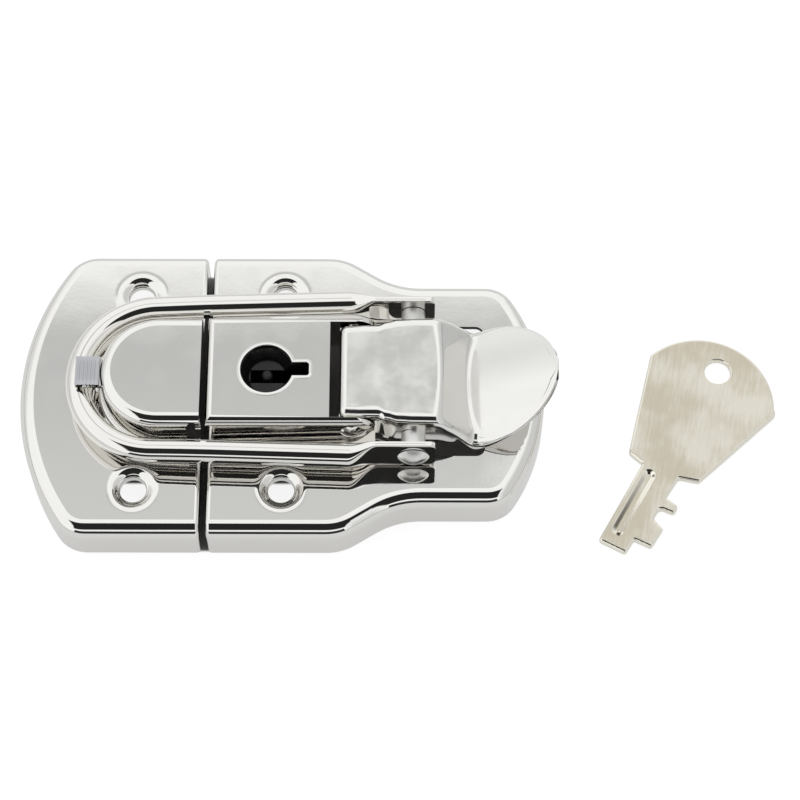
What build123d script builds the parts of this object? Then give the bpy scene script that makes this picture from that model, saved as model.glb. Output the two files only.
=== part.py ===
"""Locking draw latch of pressed steel, with its keeper plate and its key.

Millimetres. The origin is on the keyhole's axis in the plane that the latch is screwed to.
X runs from the keeper to the thumb tab, Y across, Z up from the mounting surface.
The latch is modelled closed: the lever is down and the bail lies behind the keeper's dome.
"""

from build123d import *
import math
import os

os.makedirs("parts", exist_ok=True)

# Pressed sheet of the two plates
sheet = 0.9
plate_top = 8.2
half_width = 26.0
rim_radius = 2.5
gap_edge_radius = 0.8
keeper_right = -10.9
plate_gap = 1.0
base_left = keeper_right + plate_gap

# Ends of the plates, seen from above
keeper_arc_centre = 0.2
keeper_arc_radius = 42.0
keeper_corner_radius = 6.0
base_arc_centre = 13.2
base_arc_radius = 33.0
base_corner_radius = 5.5
waist_step = 5.7
narrow_half_width = half_width - waist_step
waist_start = 9.8
waist_angle = 32.0
waist_outer_radius = 9.0
waist_inner_radius = 14.0

# Screw holes with formed countersinks
screw_margin = 8.2
screw_half_pitch = half_width - screw_margin
keeper_screw_x = -22.0
base_screw_x = 2.4
screw_hole_radius = 2.2
countersink_radius = 4.9
countersink_depth = 1.2

# Keeper dome and its hook
raised_top = 16.4
dome_half_width = 9.9
dome_centre_x = -17.8
dome_edge_radius = 1.4
root_radius = 0.8
relief_width = 2.2
relief_bottom = plate_top + 0.5
relief_top = raised_top - 0.5
relief_reach = 1.5
hook_half_width = 2.65
hook_tip_x = -31.6
hook_top = 15.55
hook_thickness = 0.8
hook_window_bottom = 10.6

# Lock box of the base plate, its ears and the window
box_half_width = 9.8
box_edge_radius = 1.05
box_top_end = 10.4
ear_radius = 3.6
window_left = 20.0
window_right = 36.1
window_half_width = 12.0
window_corner_radius = 1.5
keyhole_radius = 4.35
keyhole_slot_width = 2.4
keyhole_slot_end = 7.0

# Lever pivot and bail pivot, seen from the side
lever_axis_x = 14.3
lever_axis_z = 12.8
bail_axis_x = 24.2
bail_axis_z = 11.9
running_clearance = 0.05
side_clearance = 0.1

# Lever
lever_sheet = 1.0
lever_top = 16.6
lever_nose_x = 12.0
nose_radius = 1.2
nose_half_width = 8.65
nose_lip_bottom = 15.1
lever_half_width = 9.8
lever_jog_start = 18.4
lever_jog_end = 21.2
lever_bend_x = 28.3
lever_bend_radius = 3.0
flange_bottom = 9.3
flange_corner_radius = 2.0
valley_x = 33.7
valley_top = 10.4
valley_radius = 1.6
tab_tip_x = 48.0
tab_tip_z = 18.8
tab_half_width = 10.65
tab_centre_x = 36.2
tab_crown_radius = 38.0
lever_edge_radius = 0.9
lever_straight_end = 27.0
flange_end = 31.5
tongue_half_width = 6.4
tongue_bottom = 7.6
tongue_slot_clearance = 0.2
tongue_corner_radius = 1.0

# Bail
bail_tilt = 0.8
bail_crest = 3.0
bail_height = 3.4
bail_inner_centre = -17.3
bail_inner_radius = 12.0
bail_outer_centre = -18.3
bail_outer_radius = 15.6
bail_spread = 2.1
bail_arm_end = 17.1
bail_arm_facet = 1.7
bail_crest_radius = 1.6
bail_foot_radius = 1.3
bail_ear_sheet = 0.95
bail_ear_inner = 12.8
bail_ear_start = 14.6
bail_ear_end = 27.8
bail_ear_rise = 4.0
bail_ear_drop = 3.1
bail_ear_corner = 1.0

# Rivets
pivot_radius = 1.5
lever_rivet_head_radius = 2.1
lever_rivet_head_height = 0.65
lever_rivet_tail_radius = 1.95
lever_rivet_tail_height = 0.6
bail_rivet_head_radius = 2.6
bail_rivet_head_height = 1.1
bail_rivet_shoulder_radius = 2.0
bail_rivet_tail_radius = 2.2
bail_rivet_tail_height = 0.7

# Lock inside the box: a cast body in two halves on a steel cover
case_clearance = 0.1
case_right = 9.7
case_corner = 0.4
case_split = 10.0
cover_thickness = 1.2
cover_margin = 0.15
screw_radius = 0.9
screw_head_radius = 1.6
screw_head_height = 0.7
screw_length = 12.6
screw_x = 7.4
screw_y = 6.9
rotor_radius = 6.68
rotor_clearance = 0.07
rotor_floor = 12.9
rotor_skirt = 1.0
bowl_radius = 4.3
bowl_floor_radius = 3.0
bowl_floor_z = 13.4
blade_back = 2.8
crank_radius = 3.11
crank_pin_radius = 0.7
crank_start_angle = 225.0
post_radius = 0.9
post_foot_radius = 1.5
post_foot_height = 0.6
post_seat_depth = 0.7
post_top = 14.4
ward_thickness = 0.6
ward_bottom = 10.8
ward_bore_radius = 5.4
chamber_radius = 6.9
chamber_core_radius = 3.0
chamber_edge = 1.5
bolt_bottom = 8.6
bolt_thickness = 1.3
bolt_clearance = 0.1
bolt_half_width = 2.5
bolt_tip_x = 9.6
bolt_notch_x = 6.8
bolt_arm_inner = 1.35
bolt_arm_outer = 5.4
bolt_arm_left = -7.8
bolt_arm_right = 4.2
bolt_travel = 4.4
bolt_slot_clearance = 0.15
detent_radius = 0.45
spring_sheet = 0.35
spring_height = 1.1
spring_rise = 0.9
spring_length = 11.0
spring_clearance = 0.1

# Key, lying flat beside the latch
key_thickness = 1.4
key_x = 55.7
key_y = -25.26
key_lean = 56.0
key_bow_centre = 31.4
key_bow_radius = 12.7
key_bow_start = 17.6
key_bow_left = 5.8
key_bow_right = 7.3
key_bow_left_angle = 21.5
key_bow_right_angle = 14.0
key_ring_u = 38.2
key_ring_v = 1.0
key_ring_radius = 2.25
key_blade_left = 2.2
key_blade_right = 3.9
key_bit_reach = 6.6
key_bit_starts = (3.4, 10.7)
key_bit_ends = (8.0, 13.2)
key_gap_reach = 4.4
key_corner_radius = 0.5


def rivet(radius, length, head_radius, head_height, tail_radius, tail_height):
    """A rivet along +Z: its shank starts at 0, with the formed tail below and the domed head above."""
    dome_radius = (head_radius**2 + head_height**2) / (2 * head_height)
    dome_centre = length + head_height - dome_radius
    with BuildPart() as turned:
        with BuildSketch(Plane.XZ):
            with BuildLine():
                foot = Polyline(
                    (0, -tail_height),
                    (tail_radius - tail_height / 3, -tail_height),
                    (tail_radius, 0),
                    (radius, 0),
                    (radius, length),
                    (head_radius, length),
                )
                crown = ThreePointArc(
                    foot @ 1,
                    (
                        head_radius / 2,
                        dome_centre + math.sqrt(dome_radius**2 - head_radius**2 / 4),
                    ),
                    (0, length + head_height),
                )
                Line(crown @ 1, foot @ 0)
            make_face()
        revolve(axis=Axis.Z)
    return turned.part


# Outlines of the two plates

with BuildSketch() as keeper_outline:
    with Locations((keeper_arc_centre, 0)):
        Circle(keeper_arc_radius)
    with Locations((keeper_right, 0)):
        Rectangle(
            keeper_arc_radius,
            2 * half_width,
            align=(Align.MAX, Align.CENTER),
            mode=Mode.INTERSECT,
        )
    fillet(keeper_outline.vertices().group_by(Axis.X)[0], keeper_corner_radius)

waist_fall = (waist_outer_radius + waist_inner_radius) * (
    1 - math.cos(math.radians(waist_angle))
)
waist_run = (half_width - narrow_half_width - waist_fall) / math.sin(
    math.radians(waist_angle)
)
base_corner_x = base_arc_centre + math.sqrt(base_arc_radius**2 - narrow_half_width**2)

with BuildSketch() as base_outline:
    with BuildLine():
        Line((base_left, 0), (base_left, half_width))
        wide = Line((base_left, half_width), (waist_start, half_width))
        shoulder = JernArc(wide @ 1, wide % 1, waist_outer_radius, -waist_angle)
        slope = Line(shoulder @ 1, (shoulder @ 1) + (shoulder % 1) * waist_run)
        neck = JernArc(slope @ 1, slope % 1, waist_inner_radius, waist_angle)
        narrow = Line(neck @ 1, (base_corner_x, narrow_half_width))
        CenterArc(
            (base_arc_centre, 0),
            base_arc_radius,
            0,
            math.degrees(
                math.atan2(narrow_half_width, base_corner_x - base_arc_centre)
            ),
        )
        mirror(about=Plane.XZ)
    make_face()
    corners = base_outline.vertices().filter_by(
        lambda v: abs(v.X - base_corner_x) < 0.01
    )
    fillet(corners, base_corner_radius)


def pressed_block(outline, inset, height, rim, gap_x, gap_rim):
    """A solid block of a plate's outline with its top rim rounded, set in by the sheet for a cavity."""
    with BuildPart() as block:
        with BuildSketch():
            add(outline)
            if inset > 0:
                offset(amount=-inset, kind=Kind.INTERSECTION)
        extrude(amount=height)
        rim_edges = block.faces().sort_by(Axis.Z)[-1].edges()
        gap_edges = rim_edges.filter_by(lambda e: abs(e.center().X - gap_x) < 0.01)
        fillet(rim_edges - gap_edges, rim)
        gap_edges = (
            block.edges()
            .filter_by(lambda e: abs(e.center().X - gap_x) < 0.01)
            .group_by(Axis.Z)[-1]
        )
        fillet(gap_edges, gap_rim)
    return block.part


keeper_block = pressed_block(
    keeper_outline.sketch, 0, plate_top, rim_radius, keeper_right, gap_edge_radius
)
keeper_hollow = pressed_block(
    keeper_outline.sketch,
    sheet,
    plate_top - sheet,
    rim_radius - sheet,
    keeper_right - sheet,
    gap_edge_radius / 4,
)
base_block = pressed_block(
    base_outline.sketch, 0, plate_top, rim_radius, base_left, gap_edge_radius
)
base_hollow = pressed_block(
    base_outline.sketch,
    sheet,
    plate_top - sheet,
    rim_radius - sheet,
    base_left + sheet,
    gap_edge_radius / 4,
)


def dimple(depth_below, grow):
    """The cone of a formed countersink: the screw's own cone, or that cone grown by the sheet."""
    with BuildPart() as cone:
        with BuildSketch(Plane.XZ):
            with BuildLine():
                Polyline(
                    (0, plate_top - depth_below),
                    (countersink_radius + grow, plate_top - depth_below),
                    (
                        screw_hole_radius + grow,
                        plate_top - depth_below - countersink_depth,
                    ),
                    (0, plate_top - depth_below - countersink_depth),
                    close=True,
                )
            make_face()
        revolve(axis=Axis.Z)
    return cone.part


dimple_back = dimple(sheet, sheet / 2)
dimple_cone = dimple(0, 0)


# Keeper plate: rim, dome with its relief cuts, lanced hook and two screw dimples

with BuildPart() as keeper_dome:
    with BuildSketch():
        with Locations((dome_centre_x, 0)):
            Circle(dome_half_width)
            Rectangle(
                keeper_right - dome_centre_x,
                2 * dome_half_width,
                align=(Align.MIN, Align.CENTER),
            )
        with Locations((keeper_right, 0)):
            Rectangle(
                4 * dome_half_width,
                4 * dome_half_width,
                align=(Align.MAX, Align.CENTER),
                mode=Mode.INTERSECT,
            )
    extrude(amount=raised_top)
    dome_top_edges = keeper_dome.faces().sort_by(Axis.Z)[-1].edges()
    fillet(dome_top_edges - dome_top_edges.group_by(Axis.X)[-1], dome_edge_radius)

with BuildPart() as keeper_dome_hollow:
    with BuildSketch():
        with Locations((dome_centre_x, 0)):
            Circle(dome_half_width - sheet)
            Rectangle(
                keeper_right - sheet - dome_centre_x,
                2 * (dome_half_width - sheet),
                align=(Align.MIN, Align.CENTER),
            )
        with Locations((keeper_right - sheet, 0)):
            Rectangle(
                4 * dome_half_width,
                4 * dome_half_width,
                align=(Align.MAX, Align.CENTER),
                mode=Mode.INTERSECT,
            )
    extrude(amount=raised_top - sheet)
    cavity_edges = keeper_dome_hollow.faces().sort_by(Axis.Z)[-1].edges()
    fillet(
        cavity_edges - cavity_edges.group_by(Axis.X)[-1], dome_edge_radius - sheet
    )

with BuildPart() as keeper_plate:
    add(keeper_block)
    add(keeper_dome.part)
    root_edges = keeper_plate.edges().filter_by(
        lambda e: abs(e.center().Z - plate_top) < 0.01
        and abs(e.bounding_box().size.Z) < 0.01
        and abs(
            math.hypot(
                min(e.position_at(0.5).X - dome_centre_x, 0), e.position_at(0.5).Y
            )
            - dome_half_width
        )
        < 0.01
    )
    fillet(root_edges, root_radius)
    add(keeper_hollow, mode=Mode.SUBTRACT)
    add(keeper_dome_hollow.part, mode=Mode.SUBTRACT)
    # The slits that part the dome's end wall from its sides
    for side in (1, -1):
        with BuildSketch(Plane.XZ.offset(side * (dome_half_width + relief_reach))):
            with Locations((keeper_right + sheet, relief_bottom)):
                Rectangle(
                    relief_width + sheet,
                    relief_top - relief_bottom,
                    align=(Align.MAX, Align.MIN),
                )
            fillet(vertices().group_by(Axis.Y)[-1].sort_by(Axis.X)[0], relief_width / 2)
        extrude(
            amount=-side * (relief_reach + sheet + dome_edge_radius / 2),
            mode=Mode.SUBTRACT,
        )
    # The hook is lanced out of the dome's end and leaves a window below it
    with BuildSketch(Plane.XZ.offset(hook_half_width)):
        with Locations((dome_centre_x - dome_half_width + sheet, hook_window_bottom)):
            Rectangle(
                3 * sheet,
                hook_top - hook_thickness - hook_window_bottom,
                align=(Align.MAX, Align.MIN),
            )
    extrude(amount=-2 * hook_half_width, mode=Mode.SUBTRACT)
    with BuildSketch(Plane.XZ.offset(hook_half_width)):
        with Locations((hook_tip_x, hook_top)):
            Rectangle(
                dome_centre_x - dome_half_width + 0.5 * sheet - hook_tip_x,
                hook_thickness,
                align=(Align.MIN, Align.MAX),
            )
    extrude(amount=-2 * hook_half_width)
    with Locations(
        (keeper_screw_x, screw_half_pitch, 0), (keeper_screw_x, -screw_half_pitch, 0)
    ):
        add(dimple_back)
        add(dimple_cone, mode=Mode.SUBTRACT)
        Cylinder(
            screw_hole_radius,
            plate_top,
            align=(Align.CENTER, Align.CENTER, Align.MIN),
            mode=Mode.SUBTRACT,
        )


# Base plate: rim, lock box with keyhole, ears for the lever's rivets, window and two screw dimples

box_right = lever_axis_x + ear_radius

with BuildPart() as lock_box:
    with BuildSketch():
        with Locations((base_left, 0)):
            Rectangle(
                box_right - base_left,
                2 * box_half_width,
                align=(Align.MIN, Align.CENTER),
            )
    extrude(amount=raised_top)
    top_edges = lock_box.faces().sort_by(Axis.Z)[-1].edges()
    fillet(top_edges - top_edges.group_by(Axis.X)[-1], box_edge_radius)
    # The ears end in a half circle about the lever's axis
    with BuildSketch(Plane.XZ.offset(box_half_width)) as ear_end:
        with Locations((lever_axis_x, lever_axis_z)):
            Rectangle(
                2 * ear_radius, 2 * ear_radius, align=(Align.MIN, Align.MIN)
            )
            Circle(ear_radius, mode=Mode.SUBTRACT)
    extrude(amount=-2 * box_half_width, mode=Mode.SUBTRACT)

with BuildPart() as base_plate:
    add(base_block)
    add(lock_box.part)
    add(base_hollow, mode=Mode.SUBTRACT)
    # Inside of the box, open below and towards the lever
    with BuildSketch():
        with Locations((base_left + sheet, 0)):
            Rectangle(
                box_right - base_left,
                2 * (box_half_width - sheet),
                align=(Align.MIN, Align.CENTER),
            )
    extrude(amount=raised_top - sheet, mode=Mode.SUBTRACT)
    with BuildSketch():
        with Locations((box_top_end, 0)):
            Rectangle(
                window_left - box_top_end,
                2 * (box_half_width - sheet),
                align=(Align.MIN, Align.CENTER),
            )
        with Locations((window_left, 0)):
            Rectangle(
                window_right - window_left,
                2 * window_half_width,
                align=(Align.MIN, Align.CENTER),
            )
            corners = (
                vertices()
                .filter_by(lambda v: abs(abs(v.Y) - window_half_width) < 0.01)
            )
            fillet(corners, window_corner_radius)
    extrude(amount=2 * raised_top, mode=Mode.SUBTRACT)
    # Keyhole
    with BuildSketch(Plane.XY.offset(raised_top - 2 * sheet)):
        Circle(keyhole_radius)
        Rectangle(
            keyhole_slot_end, keyhole_slot_width, align=(Align.MIN, Align.CENTER)
        )
        slot_corners = vertices().group_by(Axis.X)[-1]
        fillet(slot_corners, keyhole_slot_width / 5)
    extrude(amount=3 * sheet, mode=Mode.SUBTRACT)
    # Seats of the lever's rivets
    with BuildSketch(Plane.XZ.offset(box_half_width)):
        with Locations((lever_axis_x, lever_axis_z)):
            Circle(pivot_radius)
    extrude(amount=-2 * box_half_width, mode=Mode.SUBTRACT)
    with Locations(
        (base_screw_x, screw_half_pitch, 0), (base_screw_x, -screw_half_pitch, 0)
    ):
        add(dimple_back)
        add(dimple_cone, mode=Mode.SUBTRACT)
        Cylinder(
            screw_hole_radius,
            plate_top,
            align=(Align.CENTER, Align.CENTER, Align.MIN),
            mode=Mode.SUBTRACT,
        )


# Lever: a channel folded from one sheet, open below, running out into a crowned thumb tab

ramp_run = valley_x - lever_bend_x
ramp_fall = lever_top - valley_top
tab_run = tab_tip_x - valley_x
tab_rise = tab_tip_z - valley_top
tab_length = math.hypot(tab_run, tab_rise)
tab_direction = (tab_run / tab_length, 0, tab_rise / tab_length)
lever_reach = 2 * tab_half_width


def lever_outline(inset):
    """The lever seen from above, or the same set in: the nose, the jog to full width and the rounded tab."""
    nose_x = lever_nose_x + inset
    nose_y = nose_half_width - inset
    side_y = lever_half_width - inset
    tab_y = tab_half_width - inset
    with BuildSketch() as outline:
        with BuildLine():
            Polyline((nose_x, 0), (nose_x, nose_y), (lever_jog_start, nose_y))
            Spline(
                (lever_jog_start, nose_y),
                (lever_jog_end, side_y),
                tangents=((1, 0), (1, 0)),
            )
            Line((lever_jog_end, side_y), (lever_straight_end, side_y))
            Spline(
                (lever_straight_end, side_y),
                (tab_centre_x, tab_y),
                tangents=((1, 0), (1, 0)),
            )
            EllipticalCenterArc(
                (tab_centre_x, 0),
                tab_tip_x - tab_centre_x - inset,
                tab_y,
                start_angle=0,
                arc_size=90,
            )
            mirror(about=Plane.XZ)
        make_face()
    return outline.sketch


def lever_mass(depth):
    """Everything under the lever's upper surface, or under that surface lowered by the sheet."""
    slope = math.atan2(ramp_fall, ramp_run)
    nose_x = lever_nose_x + depth
    top_z = lever_top - depth
    bend_x = lever_bend_x - depth * math.tan(slope / 2)
    with BuildPart() as mass:
        with BuildSketch(Plane.XZ.offset(lever_reach)):
            with BuildLine():
                Polyline(
                    (nose_x, 0),
                    (nose_x, top_z),
                    (bend_x, top_z),
                    (bend_x + top_z / math.tan(slope), 0),
                    close=True,
                )
            make_face()
            upper = vertices().group_by(Axis.Y)[-1].sort_by(Axis.X)
            fillet(upper[0], nose_radius - depth)
            fillet(upper[1], lever_bend_radius - depth)
        extrude(amount=-2 * lever_reach)
        tab_plane = Plane(
            origin=(valley_x, 0, valley_top), x_dir=(0, 1, 0), z_dir=tab_direction
        )
        with BuildSketch(tab_plane.offset(-tab_length)):
            with Locations((0, -tab_crown_radius)):
                Circle(tab_crown_radius - depth)
        extrude(amount=3 * tab_length)
        fold = mass.edges().sort_by_distance((valley_x, 0, valley_top))[0]
        fillet(fold, valley_radius)
    return mass.part


with BuildPart() as lever_block:
    with BuildSketch():
        add(lever_outline(0))
    extrude(amount=2 * lever_top)
    add(lever_mass(0), mode=Mode.INTERSECT)

# Folded edges over the nose, the top and the ramp, and the broken edge of the tab
with BuildPart() as lever_skin:
    add(lever_block.part)
    folded = lever_skin.edges().filter_by(
        lambda e: lever_nose_x + 0.1 < e.position_at(0.5).X < valley_x
        and e.position_at(0.5).Z > flange_bottom
        and abs(e.position_at(0.5).Y) > 0.1
        and abs(e.tangent_at(0.5).Z) < 0.95
    )
    fillet(folded, lever_edge_radius)

with BuildPart() as lever_cavity:
    with BuildSketch():
        add(lever_outline(lever_sheet))
    extrude(amount=2 * lever_top)
    add(lever_mass(lever_sheet), mode=Mode.INTERSECT)

# Side view of the two flanges: what lies outside it below the skin is open
with BuildPart() as flange_space:
    with BuildSketch(Plane.XZ.offset(lever_reach)):
        with Locations((lever_nose_x, flange_bottom)):
            Rectangle(
                flange_end - lever_nose_x,
                lever_top,
                align=(Align.MIN, Align.MIN),
            )
        fillet(vertices().group_by(Axis.Y)[0], flange_corner_radius)
    extrude(amount=-2 * lever_reach)

with BuildPart() as below_skin:
    add(lever_mass(lever_sheet))
    add(flange_space.part, mode=Mode.SUBTRACT)

with BuildPart() as lever:
    add(lever_skin.part)
    add(lever_cavity.part, mode=Mode.SUBTRACT)
    add(below_skin.part, mode=Mode.SUBTRACT)
    # The nose: a lip across the full width and a tongue that hangs from its middle
    for side in (1, -1):
        with BuildSketch(Plane.YZ.offset(lever_nose_x - lever_sheet)):
            with Locations((side * tongue_half_width, 0)):
                Rectangle(
                    nose_half_width - lever_sheet - tongue_half_width,
                    nose_lip_bottom,
                    align=(Align.MIN if side > 0 else Align.MAX, Align.MIN),
                )
                Rectangle(
                    nose_half_width,
                    flange_bottom,
                    align=(Align.MIN if side > 0 else Align.MAX, Align.MIN),
                )
        extrude(amount=2 * lever_sheet, mode=Mode.SUBTRACT)
    with BuildSketch(Plane.YZ.offset(lever_nose_x - lever_sheet)):
        Rectangle(lever_reach, tongue_bottom, align=(Align.CENTER, Align.MIN))
        with Locations((0, bolt_bottom - bolt_clearance - tongue_slot_clearance / 2)):
            Rectangle(
                2 * (bolt_half_width + tongue_slot_clearance),
                bolt_thickness + 2 * bolt_clearance + tongue_slot_clearance,
                align=(Align.CENTER, Align.MIN),
            )
    extrude(amount=2 * lever_sheet, mode=Mode.SUBTRACT)
    # Bores for the rivets
    with BuildSketch(Plane.XZ.offset(lever_reach)):
        with Locations((lever_axis_x, lever_axis_z)):
            Circle(pivot_radius + running_clearance)
        with Locations((bail_axis_x, bail_axis_z)):
            Circle(pivot_radius)
    extrude(amount=-2 * lever_reach, mode=Mode.SUBTRACT)


# Bail: a ring with a half-round outer edge, drawn flat in its own tilted plane through its pivots

bail_plane = Plane(
    origin=(bail_axis_x, 0, bail_axis_z),
    x_dir=(math.cos(math.radians(bail_tilt)), 0, math.sin(math.radians(bail_tilt))),
    z_dir=(-math.sin(math.radians(bail_tilt)), 0, math.cos(math.radians(bail_tilt))),
)


def bail_half_plan(centre, radius, end):
    """Half of the area inside one of the bail's two outlines, which diverge towards the pivots."""
    spread = math.radians(bail_spread)
    centre_x = centre - bail_axis_x
    end_x = end - bail_axis_x
    touch = (centre_x - radius * math.sin(spread), radius * math.cos(spread))
    end_y = touch[1] + (end_x - touch[0]) * math.tan(spread)
    with BuildSketch() as area:
        with BuildLine():
            Polyline((centre_x - radius, 0), (end_x, 0), (end_x, end_y), touch)
            ThreePointArc(
                touch,
                (
                    centre_x - radius * math.cos(math.pi / 4 - spread / 2),
                    radius * math.sin(math.pi / 4 - spread / 2),
                ),
                (centre_x - radius, 0),
            )
        make_face()
    return area.sketch


side_plane = Plane(
    origin=bail_plane.origin, x_dir=bail_plane.x_dir, z_dir=(0, -1, 0)
)

with BuildPart() as bail_opening:
    with BuildSketch(bail_plane.offset(bail_crest - 2 * bail_height)):
        add(
            bail_half_plan(
                bail_inner_centre, bail_inner_radius, bail_arm_end + bail_height
            )
        )
    extrude(amount=3 * bail_height)
    mirror(about=Plane.XZ)


def bail_edges_at(height):
    """The bail's edges that lie at a height above its own plane."""
    def lies_there(edge):
        middle = bail_plane.to_local_coords(edge).position_at(0.5)
        return abs(middle.Z - height) < 0.01

    return bail.edges().filter_by(lies_there)


with BuildPart() as bail:
    with BuildSketch(bail_plane.offset(bail_crest - bail_height)):
        add(bail_half_plan(bail_outer_centre, bail_outer_radius, bail_arm_end))
    extrude(amount=bail_height)
    mirror(about=Plane.XZ)
    crest = bail_edges_at(bail_crest)
    crest = crest - crest.sort_by(Axis.X)[-2:]
    fillet(crest, bail_crest_radius)
    foot = bail_edges_at(bail_crest - bail_height)
    foot = foot - foot.sort_by(Axis.X)[-2:]
    fillet(foot, bail_foot_radius)
    add(bail_opening.part, mode=Mode.SUBTRACT)
    # The arms run out in a facet that leads over to the thin ears
    facet_y = bail_ear_inner + bail_ear_sheet
    for side in (1, -1):
        with BuildSketch(Plane.XY):
            with BuildLine():
                Polyline(
                    (bail_arm_end, side * facet_y),
                    (bail_arm_end - bail_arm_facet, side * (bail_outer_radius + bail_crest)),
                    (bail_arm_end + bail_height, side * (bail_outer_radius + bail_crest)),
                    (bail_arm_end + bail_height, side * facet_y),
                    close=True,
                )
            make_face()
        extrude(amount=2 * raised_top, mode=Mode.SUBTRACT)
    for side in (1, -1):
        with BuildSketch(side_plane.offset(side * bail_ear_inner)):
            with Locations((bail_ear_start - bail_axis_x, -bail_ear_drop)):
                Rectangle(
                    bail_ear_end - bail_ear_start,
                    bail_ear_rise + bail_ear_drop,
                    align=(Align.MIN, Align.MIN),
                )
            fillet(vertices(), bail_ear_corner)
        extrude(amount=side * bail_ear_sheet)
    with BuildSketch(side_plane.offset(2 * bail_ear_inner)):
        Circle(pivot_radius + running_clearance)
    extrude(amount=-4 * bail_ear_inner, mode=Mode.SUBTRACT)


# Rivets, the near ones made and the far ones mirrored

lever_rivet_seat = nose_half_width - lever_sheet - side_clearance
lever_rivet_plane = Plane(
    origin=(lever_axis_x, -lever_rivet_seat, lever_axis_z),
    x_dir=(1, 0, 0),
    z_dir=(0, -1, 0),
)
bail_rivet_seat = lever_half_width - lever_sheet
bail_rivet_head_seat = bail_ear_inner + bail_ear_sheet + side_clearance
bail_rivet_plane = Plane(
    origin=(bail_axis_x, -bail_rivet_seat, bail_axis_z),
    x_dir=(1, 0, 0),
    z_dir=(0, -1, 0),
)

lever_rivet = rivet(
    pivot_radius,
    box_half_width - lever_rivet_seat,
    lever_rivet_head_radius,
    lever_rivet_head_height,
    lever_rivet_tail_radius,
    lever_rivet_tail_height,
)
bail_rivet = rivet(
    pivot_radius,
    bail_rivet_head_seat - bail_rivet_seat,
    bail_rivet_head_radius,
    bail_rivet_head_height,
    bail_rivet_tail_radius,
    bail_rivet_tail_height,
)

with BuildPart() as lever_pivot_near:
    with Locations(lever_rivet_plane):
        add(lever_rivet)

with BuildPart() as lever_pivot_far:
    mirror(lever_pivot_near.part, about=Plane.XZ)

with BuildPart() as bail_pivot_near:
    with Locations(bail_rivet_plane):
        add(bail_rivet)
    with BuildSketch(Plane.XZ.offset(lever_half_width)):
        with Locations((bail_axis_x, bail_axis_z)):
            Circle(bail_rivet_shoulder_radius)
    extrude(amount=bail_ear_inner - side_clearance - lever_half_width)

with BuildPart() as bail_pivot_far:
    mirror(bail_pivot_near.part, about=Plane.XZ)


# Lock body: the lower half with the key chamber and the bolt's channel, and the upper half for the rotor

case_left = base_left + sheet + case_clearance
case_half_width = box_half_width - sheet - case_clearance
screw_places = [
    (side_x * screw_x, side_y * screw_y, 0) for side_x in (1, -1) for side_y in (1, -1)
]
blade_slot = keyhole_slot_width
bolt_top = bolt_bottom + bolt_thickness
channel_bottom = bolt_bottom - bolt_clearance
channel_left = bolt_arm_left - bolt_clearance
channel_right = bolt_arm_right + bolt_travel + bolt_clearance
spring_pocket = bolt_arm_outer + bolt_clearance + spring_rise + spring_sheet + spring_clearance


def case_outline():
    """The lock body seen from above."""
    with BuildSketch() as outline:
        with Locations((case_left, 0)):
            Rectangle(
                case_right - case_left,
                2 * case_half_width,
                align=(Align.MIN, Align.CENTER),
            )
        fillet(vertices(), case_corner)
    return outline.sketch


def keyway(bore):
    """A round bore with the slot that lets the key's bit through."""
    with BuildSketch() as opening:
        Circle(bore)
        Rectangle(chamber_radius, blade_slot, align=(Align.MIN, Align.CENTER))
    return opening.sketch


with BuildPart() as lock_body:
    with BuildSketch(Plane.XY.offset(cover_thickness)):
        add(case_outline())
    extrude(amount=case_split - cover_thickness)
    # The chamber is as wide as the bit's quarter turn needs
    with BuildSketch(Plane.XY.offset(cover_thickness)):
        Circle(chamber_radius)
        with Locations((-chamber_edge, -chamber_edge)):
            Rectangle(
                2 * chamber_radius,
                2 * chamber_radius,
                align=(Align.MIN, Align.MIN),
                mode=Mode.INTERSECT,
            )
        Circle(chamber_core_radius)
    extrude(amount=case_split, mode=Mode.SUBTRACT)
    # Channel for the bolt's arm, the mouth for its nose and the pocket of the spring
    with BuildSketch(Plane.XY.offset(channel_bottom)):
        with Locations((channel_left, -bolt_arm_outer - bolt_clearance)):
            Rectangle(
                channel_right - channel_left,
                bolt_arm_outer + bolt_clearance,
                align=(Align.MIN, Align.MIN),
            )
        with Locations((0, -spring_pocket)):
            Rectangle(
                spring_length + 4 * bolt_clearance,
                spring_pocket,
                align=(Align.CENTER, Align.MIN),
            )
        Rectangle(
            2 * case_right,
            2 * (bolt_half_width + bolt_clearance),
            align=(Align.MIN, Align.CENTER),
        )
    extrude(amount=case_split, mode=Mode.SUBTRACT)
    with BuildSketch(Plane.XY):
        with Locations(*screw_places):
            Circle(screw_radius)
    extrude(amount=case_split, mode=Mode.SUBTRACT)

with BuildPart() as lock_top:
    with BuildSketch(Plane.XY.offset(case_split)):
        add(case_outline())
    extrude(amount=raised_top - sheet - case_clearance - case_split)
    with BuildSketch(Plane.XY.offset(ward_bottom)):
        Circle(rotor_radius + rotor_clearance)
    extrude(amount=raised_top, mode=Mode.SUBTRACT)
    with BuildSketch(Plane.XY.offset(case_split)):
        add(keyway(ward_bore_radius))
    extrude(amount=raised_top, mode=Mode.SUBTRACT)
    with BuildSketch(Plane.XY):
        with Locations(*screw_places):
            Circle(screw_radius)
    extrude(amount=screw_head_height + screw_length, mode=Mode.SUBTRACT)

with BuildPart() as ward_plate:
    with BuildSketch(Plane.XY.offset(ward_bottom)):
        Circle(rotor_radius)
        add(keyway(ward_bore_radius), mode=Mode.SUBTRACT)
    extrude(amount=ward_thickness)

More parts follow.
